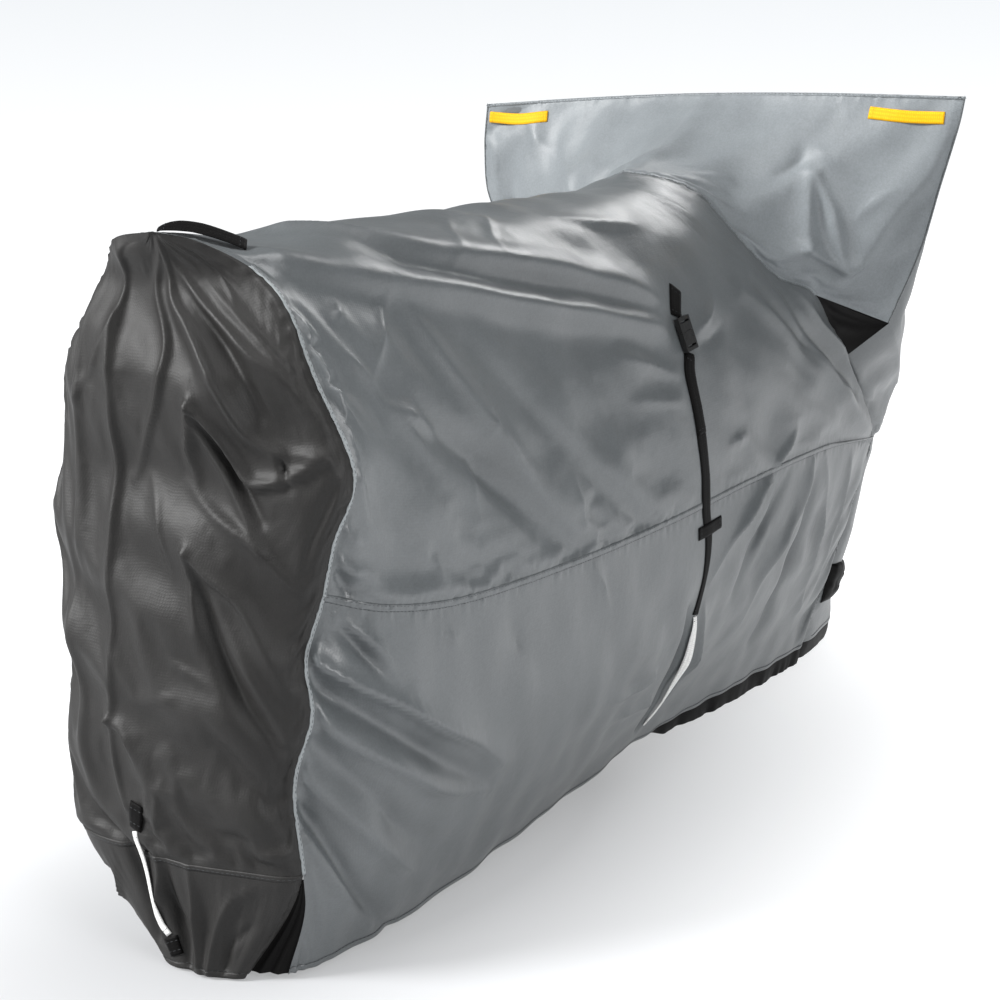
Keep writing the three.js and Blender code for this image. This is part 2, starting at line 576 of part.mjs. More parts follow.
// Side-release buckle: the plug's two arms reach into the socket. Drawn flat, then set on the belt line.
const outline = (points) => points.map(([x, y]) => new THREE.Vector2(x, y));
function buckleHalves() {
  const ground = FACES.right;
  const spot = (a, b) => ground.start(a, b).addScaledVector(ground.inward, -level(ground, a, b));
  const top = spot(...BUCKLE.top);
  const along = spot(...BUCKLE.foot).sub(top);
  const long = along.length();
  along.normalize();
  const out = at(0, -1, 0).addScaledVector(along, along.y).normalize();
  const over = along.clone().cross(out);
  const half = BUCKLE.width / 2;
  const SHARES = [0, 0.25, 0.5, 0.75, 1];
  const rises = SHARES.flatMap((s) => SHARES.map((t) => {
    const p = top.clone().addScaledVector(along, s * long).addScaledVector(over, (2 * t - 1) * half);
    return spot(p.x, p.z).sub(top).dot(out);
  }));

  const { play } = BUCKLE_ARMS;
  const cut = long * BUCKLE_ARMS.split;
  const reach = long * BUCKLE_ARMS.reach;
  const inside = half * BUCKLE_ARMS.inner;
  const outside = half * BUCKLE_ARMS.outer;
  const plug = new THREE.Shape(outline([
    [-half, 0], [half, 0], [half, cut], [outside, cut], [outside, reach], [inside, reach], [inside, cut],
    [-inside, cut], [-inside, reach], [-outside, reach], [-outside, cut], [-half, cut],
  ]));
  const [deep, low, narrow, wide] = [reach + play, cut + play, inside - play, outside + play];
  const socket = new THREE.Shape(outline([
    [-half, long], [-half, low], [-wide, low], [-wide, deep], [-narrow, deep], [-narrow, low],
    [narrow, low], [narrow, deep], [wide, deep], [wide, low], [half, low], [half, long],
  ]));
  const slotHalf = half - BUCKLE.wall;
  const slot = (y) => new THREE.Path(outline([
    [-slotHalf, y], [slotHalf, y], [slotHalf, y + BUCKLE.slot], [-slotHalf, y + BUCKLE.slot],
  ]));
  plug.holes.push(slot(BUCKLE.bar));
  socket.holes.push(slot(long - BUCKLE.bar - BUCKLE.slot));
  const frame = new THREE.Matrix4().makeBasis(over, along, out);
  frame.setPosition(top.clone().addScaledVector(out, Math.max(...rises) + LAY_GAP));
  const flat = { depth: BUCKLE.height, bevelEnabled: false };
  return [plug, socket].map((shape) => new THREE.ExtrudeGeometry(shape, flat).applyMatrix4(frame));
}
const [plugBlock, socketBlock] = buckleHalves();
addPiece('buckle_plug', plugBlock, PLASTIC);
addPiece('buckle_socket', socketBlock, PLASTIC);

export default cover;
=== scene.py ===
import math

import bmesh
import bpy
import numpy as np
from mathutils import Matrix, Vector
from mathutils.bvhtree import BVHTree


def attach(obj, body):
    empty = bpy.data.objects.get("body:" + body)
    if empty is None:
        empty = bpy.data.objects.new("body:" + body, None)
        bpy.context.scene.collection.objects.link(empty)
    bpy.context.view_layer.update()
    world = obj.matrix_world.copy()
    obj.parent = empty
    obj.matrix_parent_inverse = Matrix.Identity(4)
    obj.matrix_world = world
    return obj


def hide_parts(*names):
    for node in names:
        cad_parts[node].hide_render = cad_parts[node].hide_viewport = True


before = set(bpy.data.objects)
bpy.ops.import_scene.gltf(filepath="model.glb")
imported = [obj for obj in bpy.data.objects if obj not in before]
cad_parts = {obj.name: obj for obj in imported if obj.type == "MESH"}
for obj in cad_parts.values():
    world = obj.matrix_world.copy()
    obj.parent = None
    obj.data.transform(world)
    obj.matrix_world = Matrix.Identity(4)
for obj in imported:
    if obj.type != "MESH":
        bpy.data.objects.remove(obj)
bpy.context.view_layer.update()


# Rear end of the cover: a panel of charcoal coated polyester with a short skirt sewn across below it.
# It is cut wide at the hips, hangs in a fan of folds from a point behind the saddle, and its edges
# are gathered into the two curved rear seams. Sizes are in millimetres from here on.
REAR_SEAM = [
    # level, x, out on the right, out on the left, z
    ("hem", -1040, 135, 95, 8),
    ("heel", -1035, 160, 178, 92),
    ("skirt", -1045, 168, 212, 155),
    ("calf", -1050, 160, 220, 275),
    ("puff", -1050, 190, 214, 370),
    ("tuck", -1047, 180, 218, 443),
    ("side", -1036, 200, 230, 520),
    ("thigh", -1036, 220, 246, 595),
    ("flank", -1020, 240, 236, 678),
    ("rib", -1035, 195, 215, 792),
    ("shoulder", -1030, 150, 168, 878),
    ("collar", -1030, 100, 142, 921),
    ("corner", -1062, 38, 98, 956),
    ("tail", -1085, -15, 15, 967),
]
REAR_BULGE = [
    # z, depth
    (0, 34), (155, 52), (520, 66), (800, 58), (940, 22), (967, 0),
]
RIGHT = -1
LEFT = 1
# Steps of the fine grids along each run of the seams
RUN = {"skirt": 24, "calf": 60, "cheek": 24, "vent": 18, "crown": 58, "rear": 190, "hood side": 90}
# Steps round the upper panel, from a side seam up to the spine
AROUND = RUN["cheek"] + RUN["vent"] + RUN["crown"]
LINE_SAMPLES = 400


def smooth_line(points):
    """A smooth line through points, read at knot numbers."""
    p = np.asarray(points, float)
    p = p.reshape(len(p), -1)
    knots = np.vstack([2 * p[0] - p[1], p, 2 * p[-1] - p[-2]])

    def read(t):
        t = np.clip(np.atleast_1d(np.asarray(t, float)), 0, len(p) - 1)
        i = np.minimum(t.astype(int), len(p) - 2)
        u = (t - i)[:, None]
        a, b, c, d = knots[i], knots[i + 1], knots[i + 2], knots[i + 3]
        cubic = (3 * b - a - 3 * c + d) * u ** 3
        return 0.5 * (2 * b + (c - a) * u + (2 * a - 5 * b + 4 * c - d) * u ** 2 + cubic)

    return read


def gone_along(points, axis=0):
    """Distance gone along a line, or along the rows or columns of a grid, from its first point."""
    steps = np.diff(points, axis=axis, prepend=points.take([0], axis))
    return np.cumsum(np.linalg.norm(steps, axis=-1), axis=axis)


def even_run(line, start, end, steps):
    """Evenly spaced points of a line between two of its knots."""
    fine = line(np.linspace(start, end, LINE_SAMPLES))
    gone = gone_along(fine)
    want = np.linspace(0, gone[-1], steps + 1)
    return np.stack([np.interp(want, gone, column) for column in fine.T], axis=1)


REAR_LEVEL = {row[0]: k for k, row in enumerate(REAR_SEAM)}
REAR_EDGES = {}
for side, out in ((RIGHT, 2), (LEFT, 3)):
    seam = smooth_line([(row[1], side * row[out], row[4]) for row in REAR_SEAM])
    REAR_EDGES[side] = {
        "skirt": even_run(seam, 0, REAR_LEVEL["skirt"], RUN["skirt"]),
        "calf": even_run(seam, REAR_LEVEL["skirt"], REAR_LEVEL["side"], RUN["calf"]),
        "upper": even_run(seam, REAR_LEVEL["side"], REAR_LEVEL["tail"], AROUND),
    }


def rear_rows(edges):
    """The rear end between its right and left edges, each level bowed back."""
    s = (1 - np.cos(np.linspace(0, math.pi, RUN["rear"] + 1))) / 2
    grid = []
    for start, end in zip(edges[RIGHT], edges[LEFT]):
        depth = np.interp((start[2] + end[2]) / 2, *zip(*REAR_BULGE))
        row = start + (end - start) * s[:, None]
        row[:, 0] -= depth * np.sqrt(4 * s * (1 - s))
        grid.append(row)
    return np.stack(grid)


def unit(vectors):
    return vectors / np.maximum(np.linalg.norm(vectors, axis=-1, keepdims=True), 1e-9)


def cross_normals(grid):
    return np.cross(np.gradient(grid, axis=0), np.gradient(grid, axis=1))


def outward(grid, inside):
    """Unit normals of a grid, on the side away from a point inside the cover."""
    normals = unit(cross_normals(grid))
    return normals if np.sum(normals * (grid - np.asarray(inside, float))) > 0 else -normals


def edge_distance(grid, sewn):
    """Distance of each point from the nearest of the named edges: top, foot, first, final."""
    down, over = gone_along(grid, 0), gone_along(grid, 1)
    each = {"foot": down, "top": down[-1:] - down, "first": over, "final": over[:, -1:] - over}
    return np.min([each[name] for name in sewn], axis=0)


# Straight steps between two points of a fold's path
PATH_STEPS = 8


def from_line(points, path):
    """How far points of a face lie from a smooth path, where along it from 0 to 1, and on which side."""
    line = smooth_line(path)(np.linspace(0, len(path) - 1, PATH_STEPS * (len(path) - 1) + 1))
    step = np.diff(line, axis=0)
    long = np.linalg.norm(step, axis=1)
    gone = np.concatenate([[0], np.cumsum(long)])
    away = np.full(len(points), np.inf)
    along = np.zeros(len(points))
    beside = np.zeros(len(points))
    for k in range(len(step)):
        offset = points - line[k]
        share = np.clip(offset @ step[k] / long[k] ** 2, 0, 1)
        miss = offset - share[:, None] * step[k]
        apart = np.hypot(miss[:, 0], miss[:, 1])
        closer = apart < away
        away = np.where(closer, apart, away)
        along = np.where(closer, gone[k] + share * long[k], along)
        beside = np.where(closer, (step[k, 0] * miss[:, 1] - step[k, 1] * miss[:, 0]) / long[k], beside)
    return away, along / gone[-1], beside


# Half the width of the rounding on a crisp fold, how sharply such a fold falls away, how many widths off
# a fold is felt, and how deep the folds hang against the heights in the tables
CREST = 3.5
KEENNESS = 1.5
FOLD_REACH = 4
FOLD_DEPTH = 1.5


def fold_lift(flat, folds):
    """Height of the folds at points of a face. Each fold has a path, a width at its two ends, heights
    at its start, middle and end, a crispness from 0 to 1, and a lean that makes one flank steeper."""
    points = flat.reshape(-1, 2)
    lift = np.zeros(len(points))
    for path, width, height, crisp, lean in folds:
        reach = FOLD_REACH * max(width) * max(lean, 1 / lean)
        low, high = np.min(path, axis=0) - reach, np.max(path, axis=0) + reach
        near = np.all((points > low) & (points < high), axis=1)
        away, along, beside = from_line(points[near], path)
        wide = np.interp(along, [0, 1], width)
        u = away / wide * lean ** np.tanh(beside / CREST)
        crest = CREST / wide
        keen = np.exp(-KEENNESS * (np.sqrt(u ** 2 + crest ** 2) - crest))
        soft = np.exp(-u ** 2)
        lift[near] += np.interp(along, [0, 0.5, 1], height) * (soft + crisp * (keen - soft))
    return FOLD_DEPTH * lift.reshape(flat.shape[:-1])


# How many waves make up unevenness, and how far their lengths spread
WAVES = 14
WAVE_SPREAD = (0.6, 1.7)


def undulation(flat, size, seed):
    """Soft unevenness of hanging cloth: a sum of seeded waves about one size long."""
    rng = np.random.default_rng(seed)
    total = np.zeros(flat.shape[:-1])
    for _ in range(WAVES):
        angle = rng.uniform(0, 2 * math.pi)
        pace = 2 * math.pi / size * rng.uniform(*WAVE_SPREAD)
        way = np.array([math.cos(angle), math.sin(angle)])
        total += np.sin(flat @ way * pace + rng.uniform(0, 2 * math.pi))
    return total / math.sqrt(WAVES / 2)


def eased(low, high, value):
    """From 0 to 1 as a value goes from low to high, with a soft start and end."""
    t = np.clip((value - low) / (high - low), 0, 1)
    return t * t * (3 - 2 * t)


def resized(field, rows, columns):
    """A field over a coarse grid read smoothly at the points of a finer one."""
    down = smooth_line(field.reshape(len(field), -1))(np.linspace(0, len(field) - 1, rows))
    down = down.reshape(rows, field.shape[1], 3).transpose(1, 0, 2)
    over = smooth_line(down.reshape(len(down), -1))(np.linspace(0, len(down) - 1, columns))
    return over.reshape(columns, rows, 3).transpose(1, 0, 2)


# Grid steps and rounds of the relaxation, from coarse folds to fine creases
SETTLE_LEVELS = ((4, 200), (2, 200), (1, 90))
# Grid steps between the first bumps, and how far in from a sewn edge the cloth is held
BUMP_STEPS = 6
SETTLE_HOLD = 10
SAG = 0.015
STRETCH = 0.4
SHEAR = 0.3
BEND = 0.04


def settled(folded, inside, slack, shear, reach, seed, free=(), calm=1):
    """Lets slack cloth buckle: its threads are longer than the folds need by two shares, along the rows
    and along the columns, and it is pulled askew by a third, which draws slanting folds. It keeps its
    lengths, sags, and stays within reach of the folds; sewn edges stay put, free edges move a little,
    and calm lessens it where something holds the cloth."""
    rows, columns = folded.shape[:2]
    out = outward(folded, inside)
    coarse = (rows // BUMP_STEPS + 2, columns // BUMP_STEPS + 2, 1)
    bumps = np.random.default_rng(seed).normal(size=coarse)
    moved = out * resized(np.repeat(bumps, 3, axis=2), rows, columns)[..., :1]
    sewn = [name for name in ("foot", "top", "first", "final") if name not in free]
    held = eased(0, SETTLE_HOLD, edge_distance(folded, sewn))
    skew = np.broadcast_to(shear, (rows, columns))
    whole, after, before = slice(None), slice(1, None), slice(None, -1)
    second, last_but = slice(2, None), slice(None, -2)
    pairs = [((after, whole), (before, whole), STRETCH), ((whole, after), (whole, before), STRETCH),
             ((after, after), (before, before), SHEAR), ((after, before), (before, after), SHEAR),
             ((second, whole), (last_but, whole), BEND), ((whole, second), (whole, last_but), BEND)]
    for step, rounds in SETTLE_LEVELS:
        r, c = (np.linspace(0, n - 1, (n - 1) // step + 1).round().astype(int) for n in (rows, columns))
        rest, normal, hold, slant = (field[np.ix_(r, c)] for field in (folded, out, held, skew))
        points = rest + moved[np.ix_(r, c)] * hold[..., None]
        both = (slack[0] + slack[1]) / 2
        spare = [slack[0], slack[1], both + slant[1:, 1:], both - slant[1:, 1:], slack[0], slack[1]]
        longs = [np.linalg.norm(rest[a] - rest[b], axis=2) * (1 + more)
                 for (a, b, _), more in zip(pairs, spare)]
        for _ in range(rounds):
            points[..., 2] -= SAG
            for (a, b, firm), long in zip(pairs, longs):
                apart = points[a] - points[b]
                now = np.maximum(np.sqrt(np.einsum("ijk,ijk->ij", apart, apart)), 1e-6)
                apart *= (firm * (1 - long / now))[..., None]
                points[a] -= apart
                points[b] += apart
            shift = points - rest
            off = np.einsum("ijk,ijk->ij", shift, normal)
            shift += normal * (np.clip(off, -reach[0], reach[1]) - off)[..., None]
            points = rest + np.clip(shift, -reach[1], reach[1]) * hold[..., None]
        moved = resized(points - rest, rows, columns)
    return folded + moved * (held * calm)[..., None]


# How far in from a seam folds are held back; height, length and distance from the seams of the sway of
# hanging cloth; height, length, reach and distance of the puckers along seams
SEAM_HOLD = 14
SWAY, SWAY_LONG, SWAY_FROM = 2.0, 150, 50
PUCKER, PUCKER_LONG, PUCKER_REACH, PUCKER_FROM = 1.2, 17, 14, 5


def draped(grid, inside, flat, folds, sewn, seed, hold=1):
    """A panel with its folds, its unevenness and the fine puckers that sewing leaves along its seams."""
    from_seam = edge_distance(grid, sewn)
    lift = fold_lift(flat, folds) * eased(0, SEAM_HOLD, from_seam)
    lift += SWAY * undulation(flat, SWAY_LONG, seed) * eased(0, SWAY_FROM, from_seam)
    puckers = PUCKER * undulation(flat, PUCKER_LONG, seed + 1) * np.exp(-from_seam / PUCKER_REACH)
    lift += puckers * eased(0, PUCKER_FROM, from_seam)
    return grid + outward(grid, inside) * (lift * hold)[..., None]


def linear(code):
    """sRGB hex to the linear colour that the shader works in."""
    parts = [int(code[i:i + 2], 16) / 255 for i in (1, 3, 5)]
    return tuple(c / 12.92 if c <= 0.04045 else ((c + 0.055) / 1.055) ** 2.4 for c in parts) + (1,)


def add_node(tree, kind, links=(), values=(), **settings):
    """A node with its settings; links are (input, source socket), values are (input, number)."""
    node = tree.nodes.new(kind)
    for name, value in settings.items():
        setattr(node, name, value)
    for name, value in values:
        node.inputs[name].default_value = value
    for name, source in links:
        tree.links.new(source, node.inputs[name])
    return node


def new_material(name):
    """A material with its node tree, its shader, and the places that its patterns go by."""
    material = bpy.data.materials.new(name)
    material.use_nodes = True
    tree = material.node_tree
    place = add_node(tree, "ShaderNodeTexCoord").outputs
    return material, tree, tree.nodes["Principled BSDF"], place


def noise(tree, place, scale, detail, roughness=0.5):
    return add_node(tree, "ShaderNodeTexNoise", [("Vector", place["Object"])],
                    [("Scale", scale), ("Detail", detail), ("Roughness", roughness)]).outputs["Fac"]


def ribs(tree, place, period, distortion, way, detail=2):
    """Waves across the cloth, with a period in metres."""
    return add_node(tree, "ShaderNodeTexWave", [("Vector", place["UV"])],
                    [("Scale", 2 * math.pi / 20 / period), ("Distortion", distortion), ("Detail", detail)],
                    bands_direction=way).outputs["Fac"]


def combined(tree, operation, first, second):
    return add_node(tree, "ShaderNodeMath", [(0, first), (1, second)], operation=operation).outputs["Value"]


def ranged(tree, value, start, end):
    """A value carried over from one range to another."""
    limits = [("From Min", start[0]), ("From Max", start[1]), ("To Min", end[0]), ("To Max", end[1])]
    return add_node(tree, "ShaderNodeMapRange", [("Value", value)], limits).outputs["Result"]


def tinted(tree, shader, colour, shade):
    """The base colour, made lighter and darker by a value."""
    tint = add_node(tree, "ShaderNodeVectorMath", [("Scale", shade)], [(0, linear(colour)[:3])],
                    operation="SCALE")
    tree.links.new(tint.outputs["Vector"], shader.inputs["Base Color"])


def bumped(tree, shader, height, strength, distance, below=()):
    """A bump on the shader's normal, on top of another one if there is one below."""
    bump = add_node(tree, "ShaderNodeBump", [("Height", height), *below],
                    [("Strength", strength), ("Distance", distance)])
    tree.links.new(bump.outputs["Normal"], shader.inputs["Normal"])
    return [("Normal", bump.outputs["Normal"])]


THREAD_DRAWN = 0.004
GLOSS_SPREAD = 0.05


def coated_polyester(name, colour, roughness, specular=0.4, sheen=0.03):
    """Woven polyester with a thin polyurethane coat: a dull satin gloss over a fine, faintly uneven
    plain weave. The 0.4 mm thread is drawn at 4 mm, or it would not show."""
    material, tree, shader, place = new_material(name)
    cloud = noise(tree, place, scale=9, detail=5, roughness=0.6)
    slub = noise(tree, place, scale=260, detail=2)
    uneven = combined(tree, "ADD", cloud, slub)
    tinted(tree, shader, colour, ranged(tree, uneven, start=(0.6, 1.4), end=(0.86, 1.14)))
    glosses = (roughness - GLOSS_SPREAD, roughness + GLOSS_SPREAD)
    gloss = ranged(tree, cloud, start=(0.3, 0.7), end=glosses)
    tree.links.new(gloss, shader.inputs["Roughness"])
    warp, weft = (ribs(tree, place, THREAD_DRAWN, distortion=0.6, way=way) for way in "XY")
    dents = noise(tree, place, scale=34, detail=6, roughness=0.55)
    crumple = bumped(tree, shader, dents, strength=0.12, distance=0.010)
    weave = combined(tree, "MULTIPLY", warp, weft)
    bumped(tree, shader, weave, strength=0.12, distance=0.0008, below=crumple)
    shader.inputs["Specular IOR Level"].default_value = specular
    shader.inputs["Sheen Weight"].default_value = sheen
    shader.inputs["Sheen Roughness"].default_value = 0.4
    return material


def grid_faces(rows, columns):
    """The four-cornered faces between the points of a grid."""
    index = np.arange(rows * columns).reshape(rows, columns)
    corners = [index[:-1, :-1], index[1:, :-1], index[1:, 1:], index[:-1, 1:]]
    return np.stack(corners, axis=2).reshape(-1, 4)


def new_piece(name, points, faces, material, flat=None, closed=False):
    """A smooth piece in metres from points in millimetres, riding on the one body. Flat is where the
    points lie on the cloth laid flat; the faces of a closed shell are turned outwards."""
    mesh = bpy.data.meshes.new(name)
    mesh.from_pydata((points.reshape(-1, 3) / 1000).tolist(), [], np.asarray(faces).tolist())
    if flat is not None:
        corners = (flat.reshape(-1, 2) / 1000)[np.ravel(faces)]
        mesh.uv_layers.new(name="cloth").data.foreach_set("uv", corners.astype(np.float32).reshape(-1))
    if closed:
        shell = bmesh.new()
        shell.from_mesh(mesh)
        bmesh.ops.recalc_face_normals(shell, faces=shell.faces)
        shell.to_mesh(mesh)
        shell.free()
    mesh.polygons.foreach_set("use_smooth", np.ones(len(mesh.polygons), bool))
    mesh.materials.append(material)
    piece = bpy.data.objects.new(name, mesh)
    bpy.context.scene.collection.objects.link(piece)
    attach(piece, "root")
    return piece


def cloth_sheet(node, grid, inside, material):
    """A panel of cloth from a grid of points, its faces turned outwards, in place of its CAD solid."""
    faces = grid_faces(*grid.shape[:2])
    if np.sum(cross_normals(grid) * (grid - np.asarray(inside, float))) < 0:
        faces = faces[:, ::-1]
    laid_flat = np.stack([gone_along(grid, 1), gone_along(grid, 0)], axis=2)
    piece = new_piece(node + "_cloth", grid, faces, material, laid_flat)
    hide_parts(node)


REAR_FOLDS = [
    # path in y and z, width at start and end, heights, crispness, lean
    # the fan that hangs from the point behind the saddle
    ([(10, 955), (30, 905), (0, 830), (10, 770), (35, 715), (65, 660)], (6, 6), (3, 5, 2), 0.8, 1.0),
    ([(10, 950), (0, 895), (-35, 855), (-65, 820), (-95, 780), (-120, 735), (-160, 710)],
     (6, 11), (2.5, 8.5, 5.5), 0.8, 0.7),
    ([(-15, 905), (-70, 855), (-115, 805), (-135, 755)], (6, 12), (-1, -6, -3), 0.2, 1.0),
    ([(0, 930), (-40, 890), (-90, 855), (-130, 825), (-165, 800), (-215, 740)],
     (7, 11), (2, 7.5, 3), 0.7, 0.75),
    ([(-45, 910), (-95, 875), (-145, 835), (-185, 795), (-210, 760)], (6, 6), (0.5, 4.5, 2.5), 0.8, 0.8),
    ([(85, 950), (95, 845), (90, 725), (90, 600), (90, 440), (95, 340)], (7, 9), (2.5, 4.5, 3), 0.9, 0.8),
    ([(180, 760), (130, 800), (100, 850), (95, 865)], (6, 6), (0.5, 3.5, 2), 0.9, 1.0),
    ([(185, 735), (135, 790)], (6, 6), (0.5, 2.5, 0), 0.8, 1.0),
    # the pinched loop below it
    ([(-45, 765), (-40, 730), (-35, 700), (-45, 665)], (6, 7), (5, 5.5, 1), 0.7, 1.2),
    ([(-45, 765), (-80, 730), (-105, 690), (-125, 670), (-160, 675), (-185, 685), (-215, 705)],
     (6, 7), (5, 8.5, 2.5), 0.8, 1.3),
    ([(-60, 740), (-100, 680), (-140, 625)], (6, 8), (-1, -7, -2.5), 0.3, 1.0),
    ([(-45, 750), (-90, 675), (-145, 590)], (5, 6), (2, 5, 2.5), 0.8, 0.9),
    ([(-30, 665), (-75, 630), (-135, 595), (-185, 540)], (6, 7), (1, 5.5, 2), 0.8, 0.8),
    ([(-160, 710), (-175, 670)], (5, 5), (-1, -5, -1), 0.7, 1.0),
    ([(-165, 710), (-215, 705), (-230, 680)], (6, 6), (2, 3.5, 1), 0.8, 1.0),
    # the second point and the long folds to the hem
    ([(-40, 580), (-45, 545), (-55, 465)], (6, 9), (5, 5.5, 1), 0.7, 1.0),
    ([(-45, 580), (-70, 555), (-115, 520), (-150, 455), (-170, 405)], (7, 12), (3.5, 7, 2), 0.7, 1.2),
    ([(-50, 540), (-80, 465), (-115, 390), (-150, 330), (-155, 270)], (9, 15), (-3, -8.5, -2.5), 0.2, 1.0),
    ([(-80, 515), (-125, 440), (-160, 375), (-170, 345)], (10, 11), (1, 5, 2), 0.6, 1.0),
    ([(35, 670), (10, 620), (-10, 545)], (4, 4), (0.5, 2.5, 0.5), 1.0, 1.0),
    ([(-5, 435), (-60, 415)], (5, 5), (0.5, 3, 1), 0.9, 1.0),
    ([(30, 380), (-5, 385), (-35, 395)], (5, 5), (0, 2.5, 0), 0.9, 1.0),
    ([(100, 340), (70, 325), (45, 280)], (6, 6), (2.5, 4.5, 0.5), 0.9, 1.2),
    ([(95, 340), (90, 260), (75, 220)], (6, 6), (2, 3.5, 3), 0.9, 0.8),
    ([(-45, 400), (-95, 310), (-140, 260), (-160, 220)], (12, 12), (0, -3, -1), 0.2, 1.0),
    ([(10, 270), (20, 230), (25, 160)], (7, 7), (1, 3.5, 2), 0.7, 1.0),
    # the slit that the white strap draws together, and the gathers of the skirt
    ([(140, 185), (90, 155), (60, 85), (45, 40)], (10, 9), (-2, -10, -5), 0.2, 1.0),
    ([(45, 180), (30, 135), (40, 85), (30, 40)], (6, 6), (1, 7, 3), 0.5, 0.8),
    ([(20, 140), (20, 100), (-5, 50), (-10, 15)], (9, 10), (-3, -11, -5), 0.2, 1.0),
    ([(-20, 150), (-25, 110), (-25, 65), (-30, 20)], (6, 6), (2, 9.5, 6), 0.7, 1.0),
    ([(-160, 145), (-125, 140), (-75, 110), (-50, 55), (-45, 15)], (7, 6), (2, 7.5, 5), 0.6, 1.0),
    ([(-115, 105), (-75, 55), (-65, 20)], (9, 7), (-1, -8, -5), 0.3, 1.0),
    ([(-75, 45), (-90, 80), (-120, 105)], (6, 6), (2.5, 5.5, 1), 0.7, 1.0),
    ([(-120, 185), (-160, 190)], (6, 6), (0.5, 3.5, 2.5), 0.7, 1.0),
    # the far half, which hangs more quietly
    ([(150, 900), (165, 760), (160, 600), (150, 430)], (10, 12), (0.5, 4.5, 1), 0.6, 1.0),
    ([(200, 640), (175, 520), (165, 380), (150, 220)], (11, 14), (0.5, 5, 2), 0.5, 1.0),
    ([(120, 130), (130, 70), (120, 15)], (7, 7), (1, 6, 4.5), 0.6, 1.0),
    ([(150, 120), (155, 60)], (7, 7), (-0.5, -5.5, -3.5), 0.3, 1.0),
]
INSIDE_REAR = (-700, 10, 500)
CHARCOAL = coated_polyester("charcoal coated polyester", "#222120", roughness=0.57, sheen=0.0)

# Near the point behind the saddle the folds are sewn up small
POINT_HOLD = 0.3
POINT_REACH = 110
rear_edge = {side: np.vstack([REAR_EDGES[side]["calf"], REAR_EDGES[side]["upper"][1:]])
             for side in (RIGHT, LEFT)}
rear_grid = rear_rows(rear_edge)
rear_hold = POINT_HOLD + eased(0, POINT_REACH, edge_distance(rear_grid, ("top",)))
rear_grid = draped(rear_grid, INSIDE_REAR, rear_grid[..., 1:], REAR_FOLDS, ("first", "final", "top"), seed=11,
                   hold=rear_hold)
rear_grid = settled(rear_grid, INSIDE_REAR, slack=(0.002, 0.011), shear=-0.009, reach=(6, 9), seed=12)
cloth_sheet("rear_panel", rear_grid, INSIDE_REAR, CHARCOAL)

# The skirt is cut narrower towards the hem, where the gussets are let in
GUSSET_FOOT = 46
GUSSET_SET = 0.45
skirt_edge = {}
for side in (RIGHT, LEFT):
    edge = REAR_EDGES[side]["skirt"].copy()
    inward = GUSSET_FOOT * np.linspace(1, 0, RUN["skirt"] + 1)
    edge[:, 0] -= inward * GUSSET_SET
    edge[:, 1] -= side * inward
    skirt_edge[side] = edge
skirt_grid = rear_rows(skirt_edge)
skirt_grid = draped(skirt_grid, INSIDE_REAR, skirt_grid[..., 1:], REAR_FOLDS, ("first", "final"), seed=11)
skirt_grid[-1] = rear_grid[0]
skirt_grid = settled(skirt_grid, INSIDE_REAR, slack=(0.0, 0.02), shear=0, reach=(6, 6), seed=13,
                     free=("foot",))
cloth_sheet("rear_skirt", skirt_grid, INSIDE_REAR, CHARCOAL)


# Upper panel: grey coated polyester in one piece over saddle and tank, from side seam to side seam.
# It is pulled tight along the saddle by its own weight, so long folds run back from the belt.
BODY = [
    # name, then x, out and z at hem, skirt, side, flank, shoulder and spine
    ("tail", (-950, 152, 10), (-945, 226, 262), (-945, 236, 492), (-945, 222, 700), (-950, 118, 916),
     (-955, 40, 970)),
    ("seat back", (-780, 158, 10), (-780, 234, 250), (-780, 250, 471), (-780, 212, 712), (-780, 118, 925),
     (-780, 30, 979)),
    ("seat", (-500, 140, 14), (-485, 236, 240), (-480, 255, 467), (-480, 212, 722), (-480, 122, 932),
     (-480, 15, 991)),
    ("waist", (-210, 118, 24), (-190, 232, 250), (-180, 260, 477), (-195, 224, 730), (-200, 130, 940),
     (-200, 5, 1001)),
    ("tank", (30, 102, 34), (70, 222, 255), (100, 261, 494), (60, 240, 738), (30, 140, 946), (10, 0, 1012)),
    ("neck", (410, 126, 42), (440, 205, 262), (470, 256, 504), (330, 250, 720), (125, 138, 955),
     (66, 0, 1020)),
]
HOOD_SEAM = [
    # level, x, out, z
    ("front", 835, 214, 473), ("cheek", 700, 242, 560), ("gusset foot", 545, 252, 668),
    ("gusset top", 425, 242, 799), ("bend", 340, 202, 836), ("hollow", 268, 162, 902),
    ("crest", 238, 135, 945), ("brow", 210, 100, 990), ("saddle", 165, 55, 1016), ("top", 113, 0, 1028),
]
FRONT = [
    # name, then x, out and z at hem, skirt and side
    ("front corner", (690, 128, 48), (770, 172, 255), (835, 214, 473)),
    ("wheel side", (905, 98, 48), (965, 110, 245), (965, 128, 452)),
    ("wheel face", (980, 46, 46), (1054, 56, 240), (1066, 62, 446)),
    ("front", (1010, 0, 46), (1090, 0, 240), (1108, 0, 444)),
]
# The knots of a cross section at the side seam and at the spine, and steps between cross sections
SIDE_KNOT = 2
SPINE_KNOT = 5
BODY_ROWS = [40, 58, 78, 78, 58, 58, 58]
FRONT_ROWS = [17, 17, 18]


def lofted(sections, counts):
    """Rows between cross sections, with a number of steps from each to the next."""
    sections = np.asarray(sections, float)
    knots = np.concatenate([k + np.arange(n) / n for k, n in enumerate(counts)] + [[len(counts)]])
    return smooth_line(sections)(knots).reshape(len(knots), *sections.shape[1:])


